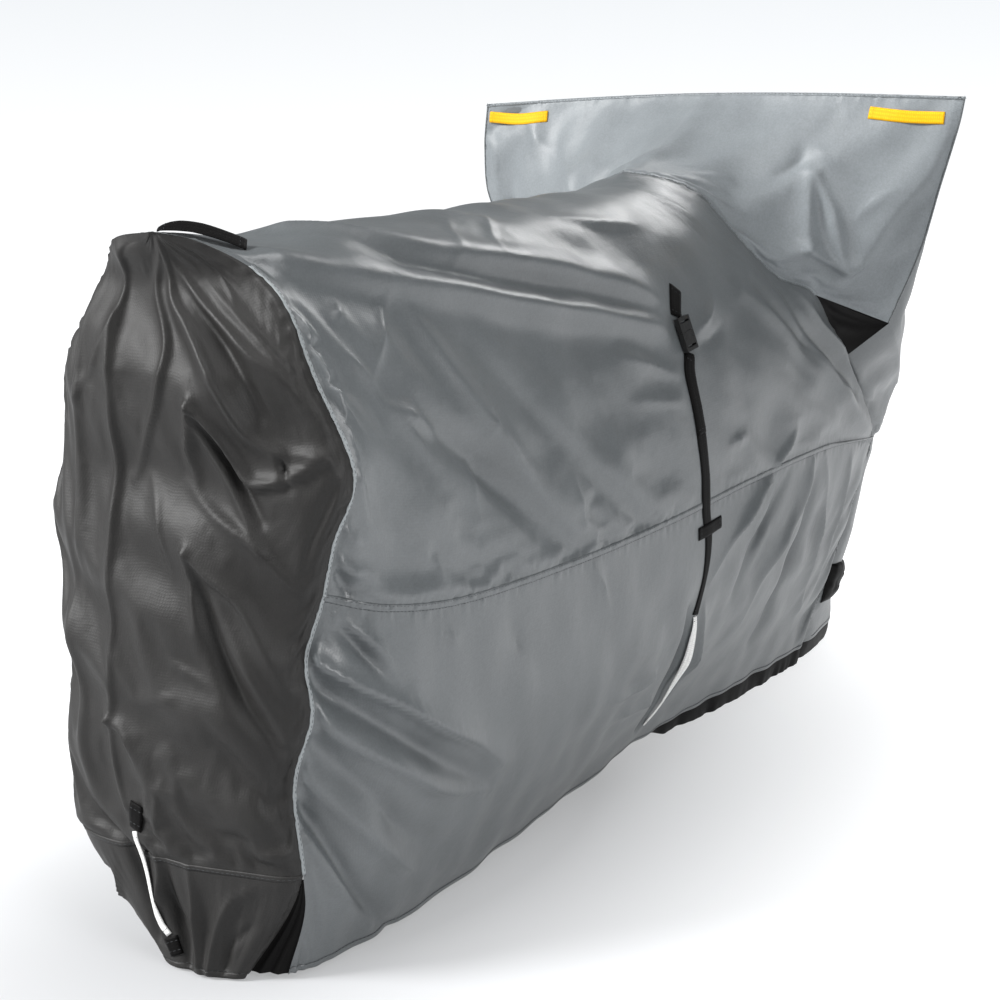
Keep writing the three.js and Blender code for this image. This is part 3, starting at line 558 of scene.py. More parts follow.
def side_lines(side):
    """Grids and seam lines of one side of the cover."""
    def mirror(point):
        return (point[0], side * point[1], point[2])

    level = {row[0]: k for k, row in enumerate(HOOD_SEAM)}
    hood = smooth_line([mirror(row[1:]) for row in HOOD_SEAM])
    cheek = even_run(hood, 0, level["gusset foot"], RUN["cheek"])
    vent = even_run(hood, level["gusset foot"], level["gusset top"], RUN["vent"])
    crown = even_run(hood, level["gusset top"], level["top"], RUN["crown"])
    below = RUN["skirt"] + RUN["calf"]
    edges = REAR_EDGES[side]
    upper = [edges["upper"]]
    lower = [np.vstack([edges["skirt"], edges["calf"][1:]])]
    for _, *levels in BODY:
        ring = smooth_line([mirror(p) for p in levels[:-1]] + [levels[-1]])
        lower.append(even_run(ring, 0, SIDE_KNOT, below))
        upper.append(even_run(ring, SIDE_KNOT, SPINE_KNOT, AROUND))
    for _, *levels in FRONT:
        lower.append(even_run(smooth_line([mirror(p) for p in levels]), 0, SIDE_KNOT, below))
    upper.append(np.vstack([cheek, vent[1:], crown[1:]]))
    upper = lofted(upper, BODY_ROWS)
    lower = lofted(lower, BODY_ROWS + FRONT_ROWS)
    upper[:, 0] = lower[:len(upper), -1]
    return {"upper": upper, "lower": lower, "cheek": upper[-1, :RUN["cheek"] + 1], "vent": vent,
            "crown": crown}


SIDES = {side: side_lines(side) for side in (RIGHT, LEFT)}
UPPER_FOLDS_RIGHT = [
    # path in x and in distance down from the spine
    # the two long folds that run back from the belt, and the hollow between them
    ([(-855, 50), (-815, 85), (-745, 130), (-640, 160), (-530, 175), (-395, 200), (-280, 230), (-180, 263),
      (-100, 290)], (27, 28), (10, 18, 12), 0.2, 1.3),
    ([(-980, 138), (-905, 170), (-800, 192), (-685, 212), (-575, 235), (-455, 257), (-325, 280), (-190, 312),
      (-115, 333)], (27, 28), (10, 19, 13), 0.2, 1.3),
    ([(-755, 170), (-610, 195), (-445, 225), (-295, 255), (-165, 295)], (22, 20), (-4, -9, -4), 0.0, 1.0),
    ([(-305, 90), (-245, 115), (-175, 135), (-50, 155)], (12, 14), (0, 6, 0), 0.6, 1.5),
    # creases pressed in by packing, and flat facets behind the saddle
    ([(-430, 60), (-530, 165)], (8, 8), (1, 3, 1), 1.0, 1.0),
    ([(-530, 70), (-670, 195)], (8, 8), (1, 2.5, 1), 1.0, 1.0),
    ([(-815, 205), (-860, 255), (-910, 315)], (10, 10), (1, 5, 2), 0.9, 1.0),
    ([(-915, 210), (-955, 245)], (9, 9), (0, 5, 0), 0.9, 1.0),
    ([(-960, 270), (-935, 300), (-910, 335)], (10, 10), (0, 5, 1), 0.9, 1.0),
    ([(-900, 355), (-855, 375), (-800, 400)], (12, 12), (1, 7, 3), 0.8, 1.4),
    ([(-900, 355), (-845, 410), (-815, 460)], (9, 9), (1, 5, 1), 0.9, 0.8),
    # the long diagonal hollow and the soft ridges in front of it
    ([(-810, 385), (-755, 425), (-710, 450), (-660, 495), (-575, 565)], (22, 30), (-4, -19, -4), 0.2, 1.0),
    ([(-785, 225), (-750, 300), (-705, 370), (-665, 420), (-620, 475), (-550, 540), (-495, 590)],
     (22, 24), (2, 11, 2), 0.6, 1.4),
    ([(-635, 280), (-555, 375), (-450, 465), (-295, 580)], (34, 34), (1, 7, 1), 0.5, 1.2),
    ([(-705, 265), (-615, 340), (-520, 425), (-405, 515)], (26, 26), (0, -7, 0), 0.2, 1.0),
    ([(-665, 300), (-660, 355), (-675, 400), (-710, 450), (-740, 490), (-740, 535)],
     (7, 7), (1, 2, 1), 1.0, 1.0),
    ([(-485, 505), (-480, 550), (-470, 585)], (8, 8), (1, 4, 2), 1.0, 1.0),
    # short folds that the belt draws in
    ([(-310, 345), (-220, 375), (-135, 405)], (12, 12), (0, 6, 6), 0.7, 1.3),
    ([(-290, 420), (-210, 435), (-130, 450)], (12, 12), (0, 4, 4), 0.6, 1.3),
    ([(40, 300), (-5, 330), (-50, 350)], (12, 10), (1, 8, 6), 0.8, 1.0),
    ([(60, 345), (10, 365), (-40, 370)], (12, 10), (0, -5, -3), 0.3, 1.0),
    # the neck, where the cloth is drawn down from tank to wheel
    ([(155, 315), (275, 435), (415, 575), (610, 780), (770, 940)], (24, 22), (5, 17, 6), 0.6, 1.3),
    ([(350, 410), (415, 505), (520, 630), (650, 785)], (11, 10), (3, 13, 4), 0.8, 1.3),
    ([(215, 335), (310, 460), (395, 555), (495, 655)], (16, 14), (-3, -15, -3), 0.3, 1.0),
    ([(305, 375), (350, 470), (460, 590), (595, 740)], (10, 9), (-2, -11, -2), 0.3, 1.0),
    ([(100, 550), (40, 550), (10, 555)], (10, 10), (0, 5, 1), 0.8, 1.0),
    ([(300, 620), (255, 630), (215, 640)], (10, 9), (1, 7, 7), 0.8, 1.0),
    # puffs of loose cloth along the rear seam
    ([(-1015, 225), (-1025, 275), (-1020, 325), (-1020, 380), (-1015, 425)], (13, 13), (5, 14, 6), 0.2, 1.0),
    ([(-985, 255), (-1020, 260)], (7, 7), (0, -6, -5), 0.5, 1.0),
    ([(-980, 300), (-1020, 310)], (7, 7), (0, -7, -5), 0.5, 1.0),
    ([(-985, 350), (-1020, 360)], (7, 7), (0, -6, -4), 0.5, 1.0),
    ([(-1025, 495), (-995, 520)], (8, 8), (5, 6, 0), 0.8, 1.0),
    ([(-1020, 540), (-985, 560)], (8, 8), (6, 7, 0), 0.8, 1.0),
    ([(-1020, 555), (-1000, 590)], (8, 8), (-5, -6, 0), 0.5, 1.0),
]
UPPER_FOLDS_LEFT = [
    ([(-930, 100), (-700, 145), (-400, 190), (-110, 270)], (18, 20), (3, 12, 6), 0.7, 1.4),
    ([(-960, 170), (-700, 215), (-400, 265), (-120, 330)], (18, 20), (3, 11, 6), 0.6, 1.4),
    ([(-860, 330), (-720, 430), (-560, 560)], (22, 24), (2, 11, 2), 0.6, 1.3),
    ([(-820, 380), (-690, 480), (-560, 590)], (16, 18), (-2, -11, -2), 0.3, 1.0),
    ([(-500, 320), (-380, 430), (-250, 560)], (28, 28), (1, 8, 1), 0.5, 1.0),
    ([(160, 310), (280, 430), (420, 570), (620, 780)], (22, 22), (3, 11, 4), 0.6, 1.3),
    ([(230, 330), (330, 460), (440, 590)], (14, 14), (-2, -8, -2), 0.3, 1.0),
    ([(-60, 420), (20, 500), (60, 600)], (16, 16), (1, 7, 1), 0.6, 1.0),
]
INSIDE_BODY = (-200, 0, 480)
GREY = coated_polyester("grey coated polyester", "#5C6062", roughness=0.40, specular=0.8)

# Where the belt lies, in x and z, the cloth is held flat
BELT_HOLD = [(-68, 842), (-94, 797), (-90, 738), (-84, 622), (-70, 473), (-52, 350), (-58, 288)]
BELT_REACH = (12, 110)

upper_grid = np.concatenate([SIDES[RIGHT]["upper"], SIDES[LEFT]["upper"][:, -2::-1]], axis=1)
spine = AROUND
# The two halves meet in a round crown along the spine
CROWN_COLUMNS = 10
CROWN_ROUNDS = 80
CROWN_ENDS = 120
crown_share = np.exp(-((np.arange(upper_grid.shape[1]) - spine) / CROWN_COLUMNS) ** 2)
crown_share = crown_share * eased(0, CROWN_ENDS, edge_distance(upper_grid, ("foot", "top")))
for _ in range(CROWN_ROUNDS):
    between = (upper_grid[:, :-2] + upper_grid[:, 2:]) / 2
    upper_grid[:, 1:-1] += 0.5 * (between - upper_grid[:, 1:-1]) * crown_share[:, 1:-1, None]
girth = gone_along(upper_grid, 1)
girth -= girth[:, spine:spine + 1]
upper_flat = np.stack([upper_grid[..., 0], np.abs(girth)], axis=2)
upper_lift = np.zeros(girth.shape)
upper_lift[:, :spine + 1] = fold_lift(upper_flat[:, :spine + 1], UPPER_FOLDS_RIGHT)
upper_lift[:, spine:] += fold_lift(upper_flat[:, spine:], UPPER_FOLDS_LEFT)
side_view = upper_grid[:, :spine + 1, [0, 2]]
from_belt = from_line(side_view.reshape(-1, 2), BELT_HOLD)[0].reshape(side_view.shape[:2])
belt_hold = np.ones(girth.shape)
belt_hold[:, :spine + 1] = eased(*BELT_REACH, from_belt)
UPPER_SEAMS = ("foot", "top", "first", "final")
lifted = upper_lift * eased(0, SEAM_HOLD, edge_distance(upper_grid, UPPER_SEAMS)) * belt_hold
upper_flat = np.stack([upper_grid[..., 0], girth], axis=2)
upper_out = outward(upper_grid, INSIDE_BODY)
upper_grid = draped(upper_grid, INSIDE_BODY, upper_flat, [], UPPER_SEAMS, seed=21, hold=belt_hold)
upper_grid += upper_out * lifted[..., None]

# It buckles less under the belt, along the hood seam, and in front of the belt, where the tank fills it
UPPER_CALM = 0.8
BELT_CALM = 0.3
HOOD_CALM, HOOD_REACH = 0.2, 160
TANK_CALM, TANK_SPAN = 0.65, (-330, -60)
from_hood = edge_distance(upper_grid, ("top",))
upper_calm = UPPER_CALM * (BELT_CALM + (1 - BELT_CALM) * belt_hold)
upper_calm *= HOOD_CALM + (1 - HOOD_CALM) * eased(0, HOOD_REACH, from_hood)
upper_calm *= 1 - TANK_CALM * eased(*TANK_SPAN, upper_grid[..., 0])
# The weave is pulled askew down the two flanks, not along the spine
UPPER_SKEW, SKEW_SPAN = 0.007, (20, 160)
upper_skew = UPPER_SKEW * eased(*SKEW_SPAN, np.abs(girth)) * np.where(girth < 0, 1, -1)
upper_grid = settled(upper_grid, INSIDE_BODY, slack=(0.0005, 0.005), shear=upper_skew, reach=(6, 9), seed=22,
                     calm=upper_calm)
cloth_sheet("upper_panel", upper_grid, INSIDE_BODY, GREY)


# Lower panels: the same grey cloth, sewn to the upper panel along the side seam and left free at the
# hem, where the edge is turned up and stitched. The front panel carries on round the wheel.
LOWER_FOLDS = {
    # path in x and in drop below the side seam
    RIGHT: [
        ([(-1010, 30), (-985, 55), (-955, 80)], (10, 10), (-6, -10, -1), 0.5, 1.0),
        ([(-1015, 22), (-965, 45), (-935, 85)], (9, 9), (6, 9, 3), 0.9, 1.0),
        ([(-1040, 80), (-1000, 95), (-935, 120), (-850, 160), (-750, 205), (-665, 260)],
         (14, 16), (14, 15, 3), 0.8, 1.7),
        ([(-1030, 115), (-975, 140), (-890, 180), (-780, 235), (-680, 285)],
         (18, 18), (-10, -13, -5), 0.3, 1.0),
        ([(-1030, 160), (-940, 200), (-810, 262), (-670, 300)], (16, 18), (8, 11, 4), 0.7, 1.5),
        ([(-1035, 195), (-960, 245), (-885, 305), (-720, 385)], (20, 24), (-8, -9, -1), 0.3, 1.0),
        ([(-1035, 240), (-960, 300), (-860, 370), (-760, 420)], (16, 18), (6, 8, 1), 0.6, 1.3),
        ([(-1040, 285), (-1010, 330), (-945, 400), (-845, 475)], (14, 16), (-9, -11, -4), 0.4, 1.0),
        ([(-1030, 320), (-975, 390), (-900, 455)], (13, 14), (6, 9, 4), 0.7, 1.0),
        ([(-870, 25), (-815, 45), (-770, 30)], (8, 8), (1, 5, 1), 0.9, 1.0),
        ([(-725, 35), (-655, 75), (-575, 120)], (14, 14), (0, -6, 0), 0.3, 1.0),
        ([(-450, 10), (-410, 60), (-385, 100)], (9, 9), (3.5, 6, 0), 0.9, 1.0),
        # the slit that the white strap draws together, and what it pulls in
        ([(-360, 265), (-250, 275), (-175, 270)], (10, 10), (0, 6, 6), 0.8, 1.0),
        ([(-300, 330), (-220, 335), (-120, 350)], (12, 12), (0, 6, 6), 0.7, 1.0),
        ([(-90, 175), (-75, 230), (-60, 300), (-50, 390), (-50, 440)], (13, 12), (-5, -24, -14.5), 0.2, 1.0),
        ([(-30, 190), (-15, 260), (-5, 330), (0, 400)], (10, 10), (2.5, 11, 5), 0.6, 1.0),
        # the folds that fall from the neck towards the wheel
        ([(200, 5), (150, 25), (75, 65), (10, 100), (-25, 145)], (11, 12), (9.5, 13, 2.5), 0.8, 0.7),
        ([(285, 10), (220, 75), (145, 135), (120, 205)], (14, 16), (-3.5, -9.5, -2.5), 0.3, 1.0),
        ([(395, 10), (365, 85), (295, 150), (230, 215), (210, 290)], (16, 18), (5, 11, 2.5), 0.6, 0.8),
        ([(475, 25), (535, 140), (555, 235), (575, 350)], (14, 16), (3.5, 8.5, 2.5), 0.6, 0.8),
        ([(430, 40), (420, 150), (380, 260), (350, 380)], (16, 18), (-2.5, -8.5, -3.5), 0.3, 1.0),
        ([(640, 20), (660, 150), (650, 300)], (14, 16), (2.5, 7, 2.5), 0.6, 1.0),
    ],
    LEFT: [
        ([(-1030, 90), (-930, 130), (-780, 200), (-650, 270)], (16, 20), (5, 14.5, 2.5), 0.7, 1.4),
        ([(-1000, 140), (-880, 190), (-700, 290)], (18, 20), (-3.5, -12, -2.5), 0.3, 1.0),
        ([(-1010, 250), (-900, 330), (-740, 410)], (20, 22), (3.5, 9.5, 2.5), 0.5, 1.2),
        ([(-480, 60), (-440, 200), (-420, 360)], (18, 20), (1, 8.5, 2.5), 0.6, 1.0),
        ([(-120, 40), (-90, 180), (-80, 360)], (16, 18), (1, 9.5, 3.5), 0.6, 1.0),
        ([(180, 30), (120, 140), (90, 300)], (14, 16), (3.5, 11, 3.5), 0.7, 1.0),
        ([(420, 30), (380, 160), (340, 330)], (16, 18), (3.5, 9.5, 3.5), 0.6, 1.0),
        ([(620, 40), (610, 180), (590, 350)], (16, 18), (2.5, 8.5, 3.5), 0.6, 1.0),
    ],
}
FRONT_FOLDS = [
    # path in y and z
    ([(-195, 440), (-170, 300), (-140, 120)], (13, 15), (2, 8, 3), 0.6, 1.0),
    ([(-120, 430), (-110, 280), (-95, 90)], (12, 14), (-1, -8, -3), 0.3, 1.0),
    ([(-70, 430), (-60, 260), (-50, 80)], (12, 14), (2, 8, 4), 0.6, 1.0),
    ([(-10, 430), (0, 250), (5, 70)], (14, 14), (1, 7, 3), 0.6, 1.0),
    ([(60, 430), (55, 260), (45, 80)], (12, 14), (2, 8, 4), 0.6, 1.0),
    ([(130, 430), (120, 280), (100, 90)], (12, 14), (-1, -8, -3), 0.3, 1.0),
    ([(195, 440), (170, 300), (140, 120)], (13, 15), (2, 8, 3), 0.6, 1.0),
]
SIDE_WORDS = {RIGHT: "right", LEFT: "left"}
BODY_STEPS = sum(BODY_ROWS)
# The weave is pulled one way at the back and the other way in front
LOWER_SKEW, LOWER_TURN = 0.005, (-250, 150)
for side, word in SIDE_WORDS.items():
    lower_grid = SIDES[side]["lower"][:BODY_STEPS + 1]
    drop = edge_distance(lower_grid, ("final",))
    lower_flat = np.stack([lower_grid[..., 0], drop], axis=2)
    lower_grid = draped(lower_grid, INSIDE_BODY, lower_flat, LOWER_FOLDS[side], ("foot", "top", "final"),
                        seed=30 + side)
    lower_skew = LOWER_SKEW * (1 - 2 * eased(*LOWER_TURN, lower_flat[..., 0]))
    lower_grid = settled(lower_grid, INSIDE_BODY, slack=(0.0, 0.005), shear=lower_skew, reach=(6, 6),
                         seed=34 + side, free=("first",))
    SIDES[side]["lower draped"] = lower_grid
    cloth_sheet("lower_panel_" + word, lower_grid, INSIDE_BODY, GREY)

INSIDE_FRONT = (800, 0, 300)
front_grid = np.concatenate([SIDES[RIGHT]["lower"][BODY_STEPS:], SIDES[LEFT]["lower"][-2:BODY_STEPS - 1:-1]])
front_grid = draped(front_grid, INSIDE_FRONT, front_grid[..., 1:], FRONT_FOLDS, ("foot", "top", "final"),
                    seed=41)
front_grid = settled(front_grid, INSIDE_FRONT, slack=(0.012, 0.002), shear=0, reach=(6, 6), seed=42,
                     free=("first",))
cloth_sheet("front_panel", front_grid, INSIDE_FRONT, GREY)


# Hood: two grey panels over the handlebar, joined along a straight ridge and down both sides, with a
# black gusset let in under each end so that the bar can turn. The back panel hangs in wide soft dents.
RIDGE = {"x": 455, RIGHT: 500, LEFT: 504, "z": 1158, "rise": 14}
HOOD_SIDE = {
    RIGHT: [(462, 488, 1105), (485, 452, 1000), (520, 408, 880), (565, 336, 740)],
    LEFT: [(452, 509, 1065), (462, 500, 960), (505, 442, 850), (565, 354, 740)],
}
HOOD_BULGE = {"back": (14, 0, -22), "front": (67, 0, 67), "gusset": -12}


def patch(near, far, first, final):
    """A four-sided patch between its edges."""
    s = np.linspace(0, 1, len(near))[None, :, None]
    t = np.linspace(0, 1, len(first))[:, None, None]
    grid = near[None] * (1 - t) + far[None] * t + first[:, None] * (1 - s) + final[:, None] * s
    corners = near[0] * (1 - s) * (1 - t) + near[-1] * s * (1 - t) + far[0] * (1 - s) * t + far[-1] * s * t
    return grid - corners


def bulged(grid, push):
    """A patch pushed out in the middle."""
    s = np.linspace(0, 1, grid.shape[1])[None, :, None]
    t = np.linspace(0, 1, grid.shape[0])[:, None, None]
    return grid + np.asarray(push, float) * 16 * s * (1 - s) * t * (1 - t)


for side in (RIGHT, LEFT):
    lines = SIDES[side]
    corner = (RIDGE["x"], side * RIDGE[side], RIDGE["z"])
    hang = smooth_line([(x, side * out, z) for x, out, z in reversed(HOOD_SIDE[side])] + [corner])
    lines["side"] = even_run(hang, 0, len(HOOD_SIDE[side]), RUN["hood side"])
    tip = lines["side"][0]
    share = np.linspace(0, 1, RUN["vent"] + 1)[:, None]
    lines["vent top"] = lines["vent"][-1] + (tip - lines["vent"][-1]) * share
    lines["vent foot"] = lines["vent"][0] + (tip - lines["vent"][0]) * share
    lines["back foot"] = np.vstack([lines["vent top"][::-1], lines["crown"][1:]])
    lines["nose foot"] = np.vstack([lines["cheek"][::-1], lines["lower"][BODY_STEPS + 1:, -1]])
    lines["nose edge"] = np.vstack([lines["vent foot"], lines["side"][1:]])

s = np.linspace(0, 1, 2 * (RUN["vent"] + RUN["crown"]) + 1)[:, None]
ridge = SIDES[RIGHT]["side"][-1] * (1 - s) + SIDES[LEFT]["side"][-1] * s
ridge[:, 2] += RIDGE["rise"] * np.sin(math.pi * s[:, 0])
HOOD_FOLDS = [
    # path in y and z
    # the tent over the hand grip, and the edge below which the cloth falls straight
    ([(-235, 1030), (-240, 965), (-240, 885)], (13, 12), (6, 7, 5), 0.8, 0.8),
    ([(-245, 1025), (-275, 955), (-285, 850)], (10, 10), (6, 8, 5), 0.8, 1.3),
    ([(-245, 1005), (-260, 940), (-265, 885)], (9, 10), (-1, -5, -3), 0.3, 1.0),
    ([(-150, 895), (-185, 875), (-205, 875), (-240, 890)], (10, 10), (3, 7, 6), 0.7, 1.7),
    ([(-240, 890), (-265, 870), (-285, 855), (-310, 865)], (10, 10), (5, 6.5, 7), 0.7, 1.7),
    ([(-475, 1105), (-430, 1025), (-355, 935), (-310, 865)], (27, 27), (3, 12, 8.5), 0.4, 0.55),
    ([(-375, 1005), (-325, 965), (-315, 950)], (7, 6), (0.5, 3.5, 2), 0.9, 1.0),
    # dents below the ridge
    ([(-200, 1085), (-215, 1055), (-180, 1020)], (12, 10), (-1, -6, -2), 0.4, 1.0),
    ([(-185, 1095), (-215, 1085), (-270, 1055), (-315, 1040)], (13, 13), (1, 4, 1), 0.6, 1.0),
    ([(85, 1090), (115, 1045), (170, 1010)], (16, 18), (-1, -6, -2.5), 0.3, 1.0),
    ([(0, 1115), (15, 1070), (35, 1050), (90, 1010)], (13, 10), (0.5, 5.5, 3), 0.7, 1.2),
    ([(60, 1035), (90, 1005)], (6, 6), (1, 3.5, 2), 0.9, 1.0),
    ([(40, 1030), (-25, 1025), (-65, 1015), (-105, 985)], (9, 9), (3, 3.5, 2), 0.8, 1.4),
    ([(-120, 960), (-150, 935), (-170, 920)], (8, 8), (0.5, -3.5, -2), 0.4, 1.0),
    # the far corner
    ([(385, 1160), (445, 1140), (490, 1110)], (11, 11), (-2, -6.5, -3), 0.4, 1.0),
    ([(400, 1130), (370, 1090), (330, 1060)], (14, 16), (1, 5, 1), 0.6, 1.0),
    ([(480, 1075), (470, 985)], (8, 8), (1, 4, 2), 0.8, 1.0),
    ([(440, 1060), (430, 960), (400, 880)], (13, 14), (-0.5, -5.5, -2), 0.3, 1.0),
    ([(300, 1080), (250, 990), (240, 900)], (18, 18), (0.5, 5, 2), 0.5, 1.0),
]
HOOD_FRONT_FOLDS = [
    ([(-380, 1060), (-330, 900), (-230, 700)], (24, 24), (1.5, 8, 2.5), 0.5, 1.0),
    ([(-200, 1090), (-170, 880), (-120, 620)], (22, 24), (-1, -7, -1.5), 0.3, 1.0),
    ([(-60, 1100), (-50, 860), (-30, 580)], (24, 26), (1, 8, 2.5), 0.5, 1.0),
    ([(110, 1090), (90, 850), (60, 600)], (22, 24), (-1, -7, -1.5), 0.3, 1.0),
    ([(240, 1080), (200, 880), (130, 620)], (24, 24), (1.5, 8, 2.5), 0.5, 1.0),
    ([(400, 1060), (330, 880), (240, 700)], (22, 24), (1.5, 7, 2.5), 0.5, 1.0),
]
INSIDE_HOOD = (600, 0, 800)
# The hood back and the tapes on its seams are a lighter copy of the grey cloth: painted light for the hood
# back, which faces the key light
GREY_PAINTED_LIGHTER = coated_polyester("grey coated polyester painted lighter", "#7C8184", roughness=0.44, specular=0.3)

back_foot = np.vstack([SIDES[RIGHT]["back foot"], SIDES[LEFT]["back foot"][-2::-1]])
hood_back_grid = patch(back_foot, ridge, SIDES[RIGHT]["side"], SIDES[LEFT]["side"])
hood_back_grid = bulged(hood_back_grid, HOOD_BULGE["back"])
hood_back_grid = draped(hood_back_grid, INSIDE_HOOD, hood_back_grid[..., 1:], HOOD_FOLDS,
                        ("foot", "top", "first", "final"), seed=51)
hood_back_grid = settled(hood_back_grid, INSIDE_HOOD, slack=(0.006, 0.008), shear=0.006, reach=(6, 9),
                         seed=53)
cloth_sheet("hood_back", hood_back_grid, INSIDE_HOOD, GREY_PAINTED_LIGHTER)

nose_foot = np.vstack([SIDES[RIGHT]["nose foot"], SIDES[LEFT]["nose foot"][-2::-1]])
hood_front_grid = patch(nose_foot, ridge, SIDES[RIGHT]["nose edge"], SIDES[LEFT]["nose edge"])
hood_front_grid = bulged(hood_front_grid, HOOD_BULGE["front"])
hood_front_grid = draped(hood_front_grid, INSIDE_HOOD, hood_front_grid[..., 1:], HOOD_FRONT_FOLDS,
                         ("foot", "top", "first", "final"), seed=52)
hood_front_grid = settled(hood_front_grid, INSIDE_HOOD, slack=(0.006, 0.012), shear=0, reach=(8, 9), seed=54)
cloth_sheet("hood_front", hood_front_grid, INSIDE_HOOD, GREY)


# Hood gussets: black unlined polyester let in under each end of the hood, three-cornered, its point out
# under the bar end. It hangs in slack pleats from the seam at the neck.
BLACK = coated_polyester("black coated polyester", "#0D0C0C", roughness=0.55, specular=0.1, sheen=0.0)
GUSSET_TIP = 0.99
GUSSET_STEPS = 40
PLEAT_DEPTH = 5
# Waves of the pleats across the gusset and along it, and the share near the neck where they begin
PLEATS_ACROSS = 2.2
PLEATS_ALONG = 1.4
PLEATS_BEGIN = 0.12
for side, word in SIDE_WORDS.items():
    lines = SIDES[side]
    reach = np.linspace(0, GUSSET_TIP, GUSSET_STEPS + 1)[:, None, None]
    gusset_grid = lines["vent"][None] * (1 - reach) + lines["side"][0] * reach
    s = np.linspace(0, 1, RUN["vent"] + 1)[None, :]
    t = reach[..., 0]
    gusset_dip = HOOD_BULGE["gusset"] * 16 * s * (1 - s) * t * (1 - t)
    pleats = PLEAT_DEPTH * np.sin(2 * math.pi * (PLEATS_ACROSS * s + PLEATS_ALONG * t))
    pleats = pleats * 4 * s * (1 - s) * (1 - t) * eased(0, PLEATS_BEGIN, t)
    gusset_grid += outward(gusset_grid, INSIDE_HOOD) * (gusset_dip + pleats)[..., None]
    cloth_sheet("hood_gusset_" + word, gusset_grid, INSIDE_HOOD, BLACK)


# Rear gussets: narrow black wedges between the skirt and the lower panels. They open when the cover is
# pulled over the wheel, and hang in two sharp pleats.
WEDGE_COLUMNS = 24
WEDGE_PLEAT = 7
for side, word in SIDE_WORDS.items():
    body_edge = SIDES[side]["lower draped"][0, :RUN["skirt"] + 1]
    skirt_side = skirt_grid[:, 0 if side == RIGHT else -1]
    s = np.linspace(0, 1, WEDGE_COLUMNS + 1)[None, :, None]
    wedge_grid = (body_edge[:, None] * (1 - s) + skirt_side[:, None] * s)[:-1]
    open_share = np.linspace(1, 0, RUN["skirt"] + 1)[:-1, None]
    s = s[..., 0]
    fold = WEDGE_PLEAT * np.abs(np.mod(2 * s + 0.5, 1) * 2 - 1) * 4 * s * (1 - s) - WEDGE_PLEAT / 2
    wedge_grid += outward(wedge_grid, INSIDE_REAR) * (fold * open_share)[..., None]
    cloth_sheet("rear_gusset_" + word, wedge_grid, INSIDE_REAR, BLACK)


# Hem band: a strip of black polyester sewn inside the hem from the belt round the front wheel. It hangs
# a little below the grey cloth and turns in under it.
BAND_FROM = "tank"
BAND_DROP = 34
BAND_TUCK = 6
# Towards its ends it grows narrower, and at last nearly closes, within these shares of its length
BAND_START, BAND_GROWTH = 0.6, 0.15
BAND_LEAST, BAND_TAPER = 0.05, 0.04
BAND_COLUMNS = 6
BAND_LAY = 1.5
BAND_WAVER, BAND_WAVER_LONG = 1.5, 60
BAND_LONG = 2400
BAND_LOWEST = 2
INSIDE_BAND = (500, 0, 200)
# It turns in towards the middle of the front, mostly across the cover
BAND_MIDDLE = (500, 0, 0)
BAND_LEAN = 80
band_row = sum(BODY_ROWS[:1 + [row[0] for row in BODY].index(BAND_FROM)])
right_hem = SIDES[RIGHT]["lower draped"][band_row:, 0]
left_hem = SIDES[LEFT]["lower draped"][band_row:, 0]
band_top = np.vstack([right_hem, front_grid[1:-1, 0], left_hem[::-1]])
band_share = np.linspace(0, 1, len(band_top))
from_end = np.minimum(band_share, 1 - band_share)
band_open = BAND_START + (1 - BAND_START) * eased(0, BAND_GROWTH, from_end)
band_open *= BAND_LEAST + (1 - BAND_LEAST) * eased(0, BAND_TAPER, from_end)
inward = np.array(BAND_MIDDLE) - band_top
inward[:, 0] = np.clip(inward[:, 0], -BAND_LEAN, BAND_LEAN)
inward[:, 2] = 0
inward = unit(inward)
t = np.linspace(0, 1, BAND_COLUMNS + 1)[None, :]
down = BAND_DROP * band_open[:, None] * t
band_flat = np.stack([band_share * BAND_LONG, band_share * 0], axis=1)
waver = BAND_WAVER * undulation(band_flat, BAND_WAVER_LONG, seed=61)
band_grid = np.repeat(band_top[:, None], BAND_COLUMNS + 1, axis=1)
band_grid = band_grid + inward[:, None] * (BAND_LAY + BAND_TUCK * t ** 2 + waver[:, None] * t)[..., None]
band_grid[..., 2] = np.maximum(band_grid[..., 2] - down, BAND_LOWEST)
cloth_sheet("hem_band", band_grid, INSIDE_BAND, BLACK)


# Felled seams and hems: the edges of the panels are turned under and stitched flat, a pale tape is
# felled over the rear seams, and the hems are turned up and stitched once.
TAPE_THICK = 0.6
TAPE_LAY = 0.25


def insets(grid, edge, *distances):
    """Lines on a panel at distances in from one of its edges, in step with the edge's own points."""
    turned = {"foot": grid, "top": grid[::-1], "first": grid.transpose(1, 0, 2),
              "final": grid.transpose(1, 0, 2)[::-1]}[edge]
    gone = gone_along(turned)
    column = np.arange(turned.shape[1])
    lines = []
    for distance in distances:
        reach = np.minimum(distance, gone[-1] / 2)
        k = np.clip((gone < reach).sum(axis=0), 1, len(gone) - 1)
        low, high = gone[k - 1, column], gone[k, column]
        share = ((reach - low) / np.maximum(high - low, 1e-6))[:, None]
        lines.append(turned[k - 1, column] * (1 - share) + turned[k, column] * share)
    return lines


# How thick a tape is at its edges, against its middle
TAPE_EDGE = 0.4


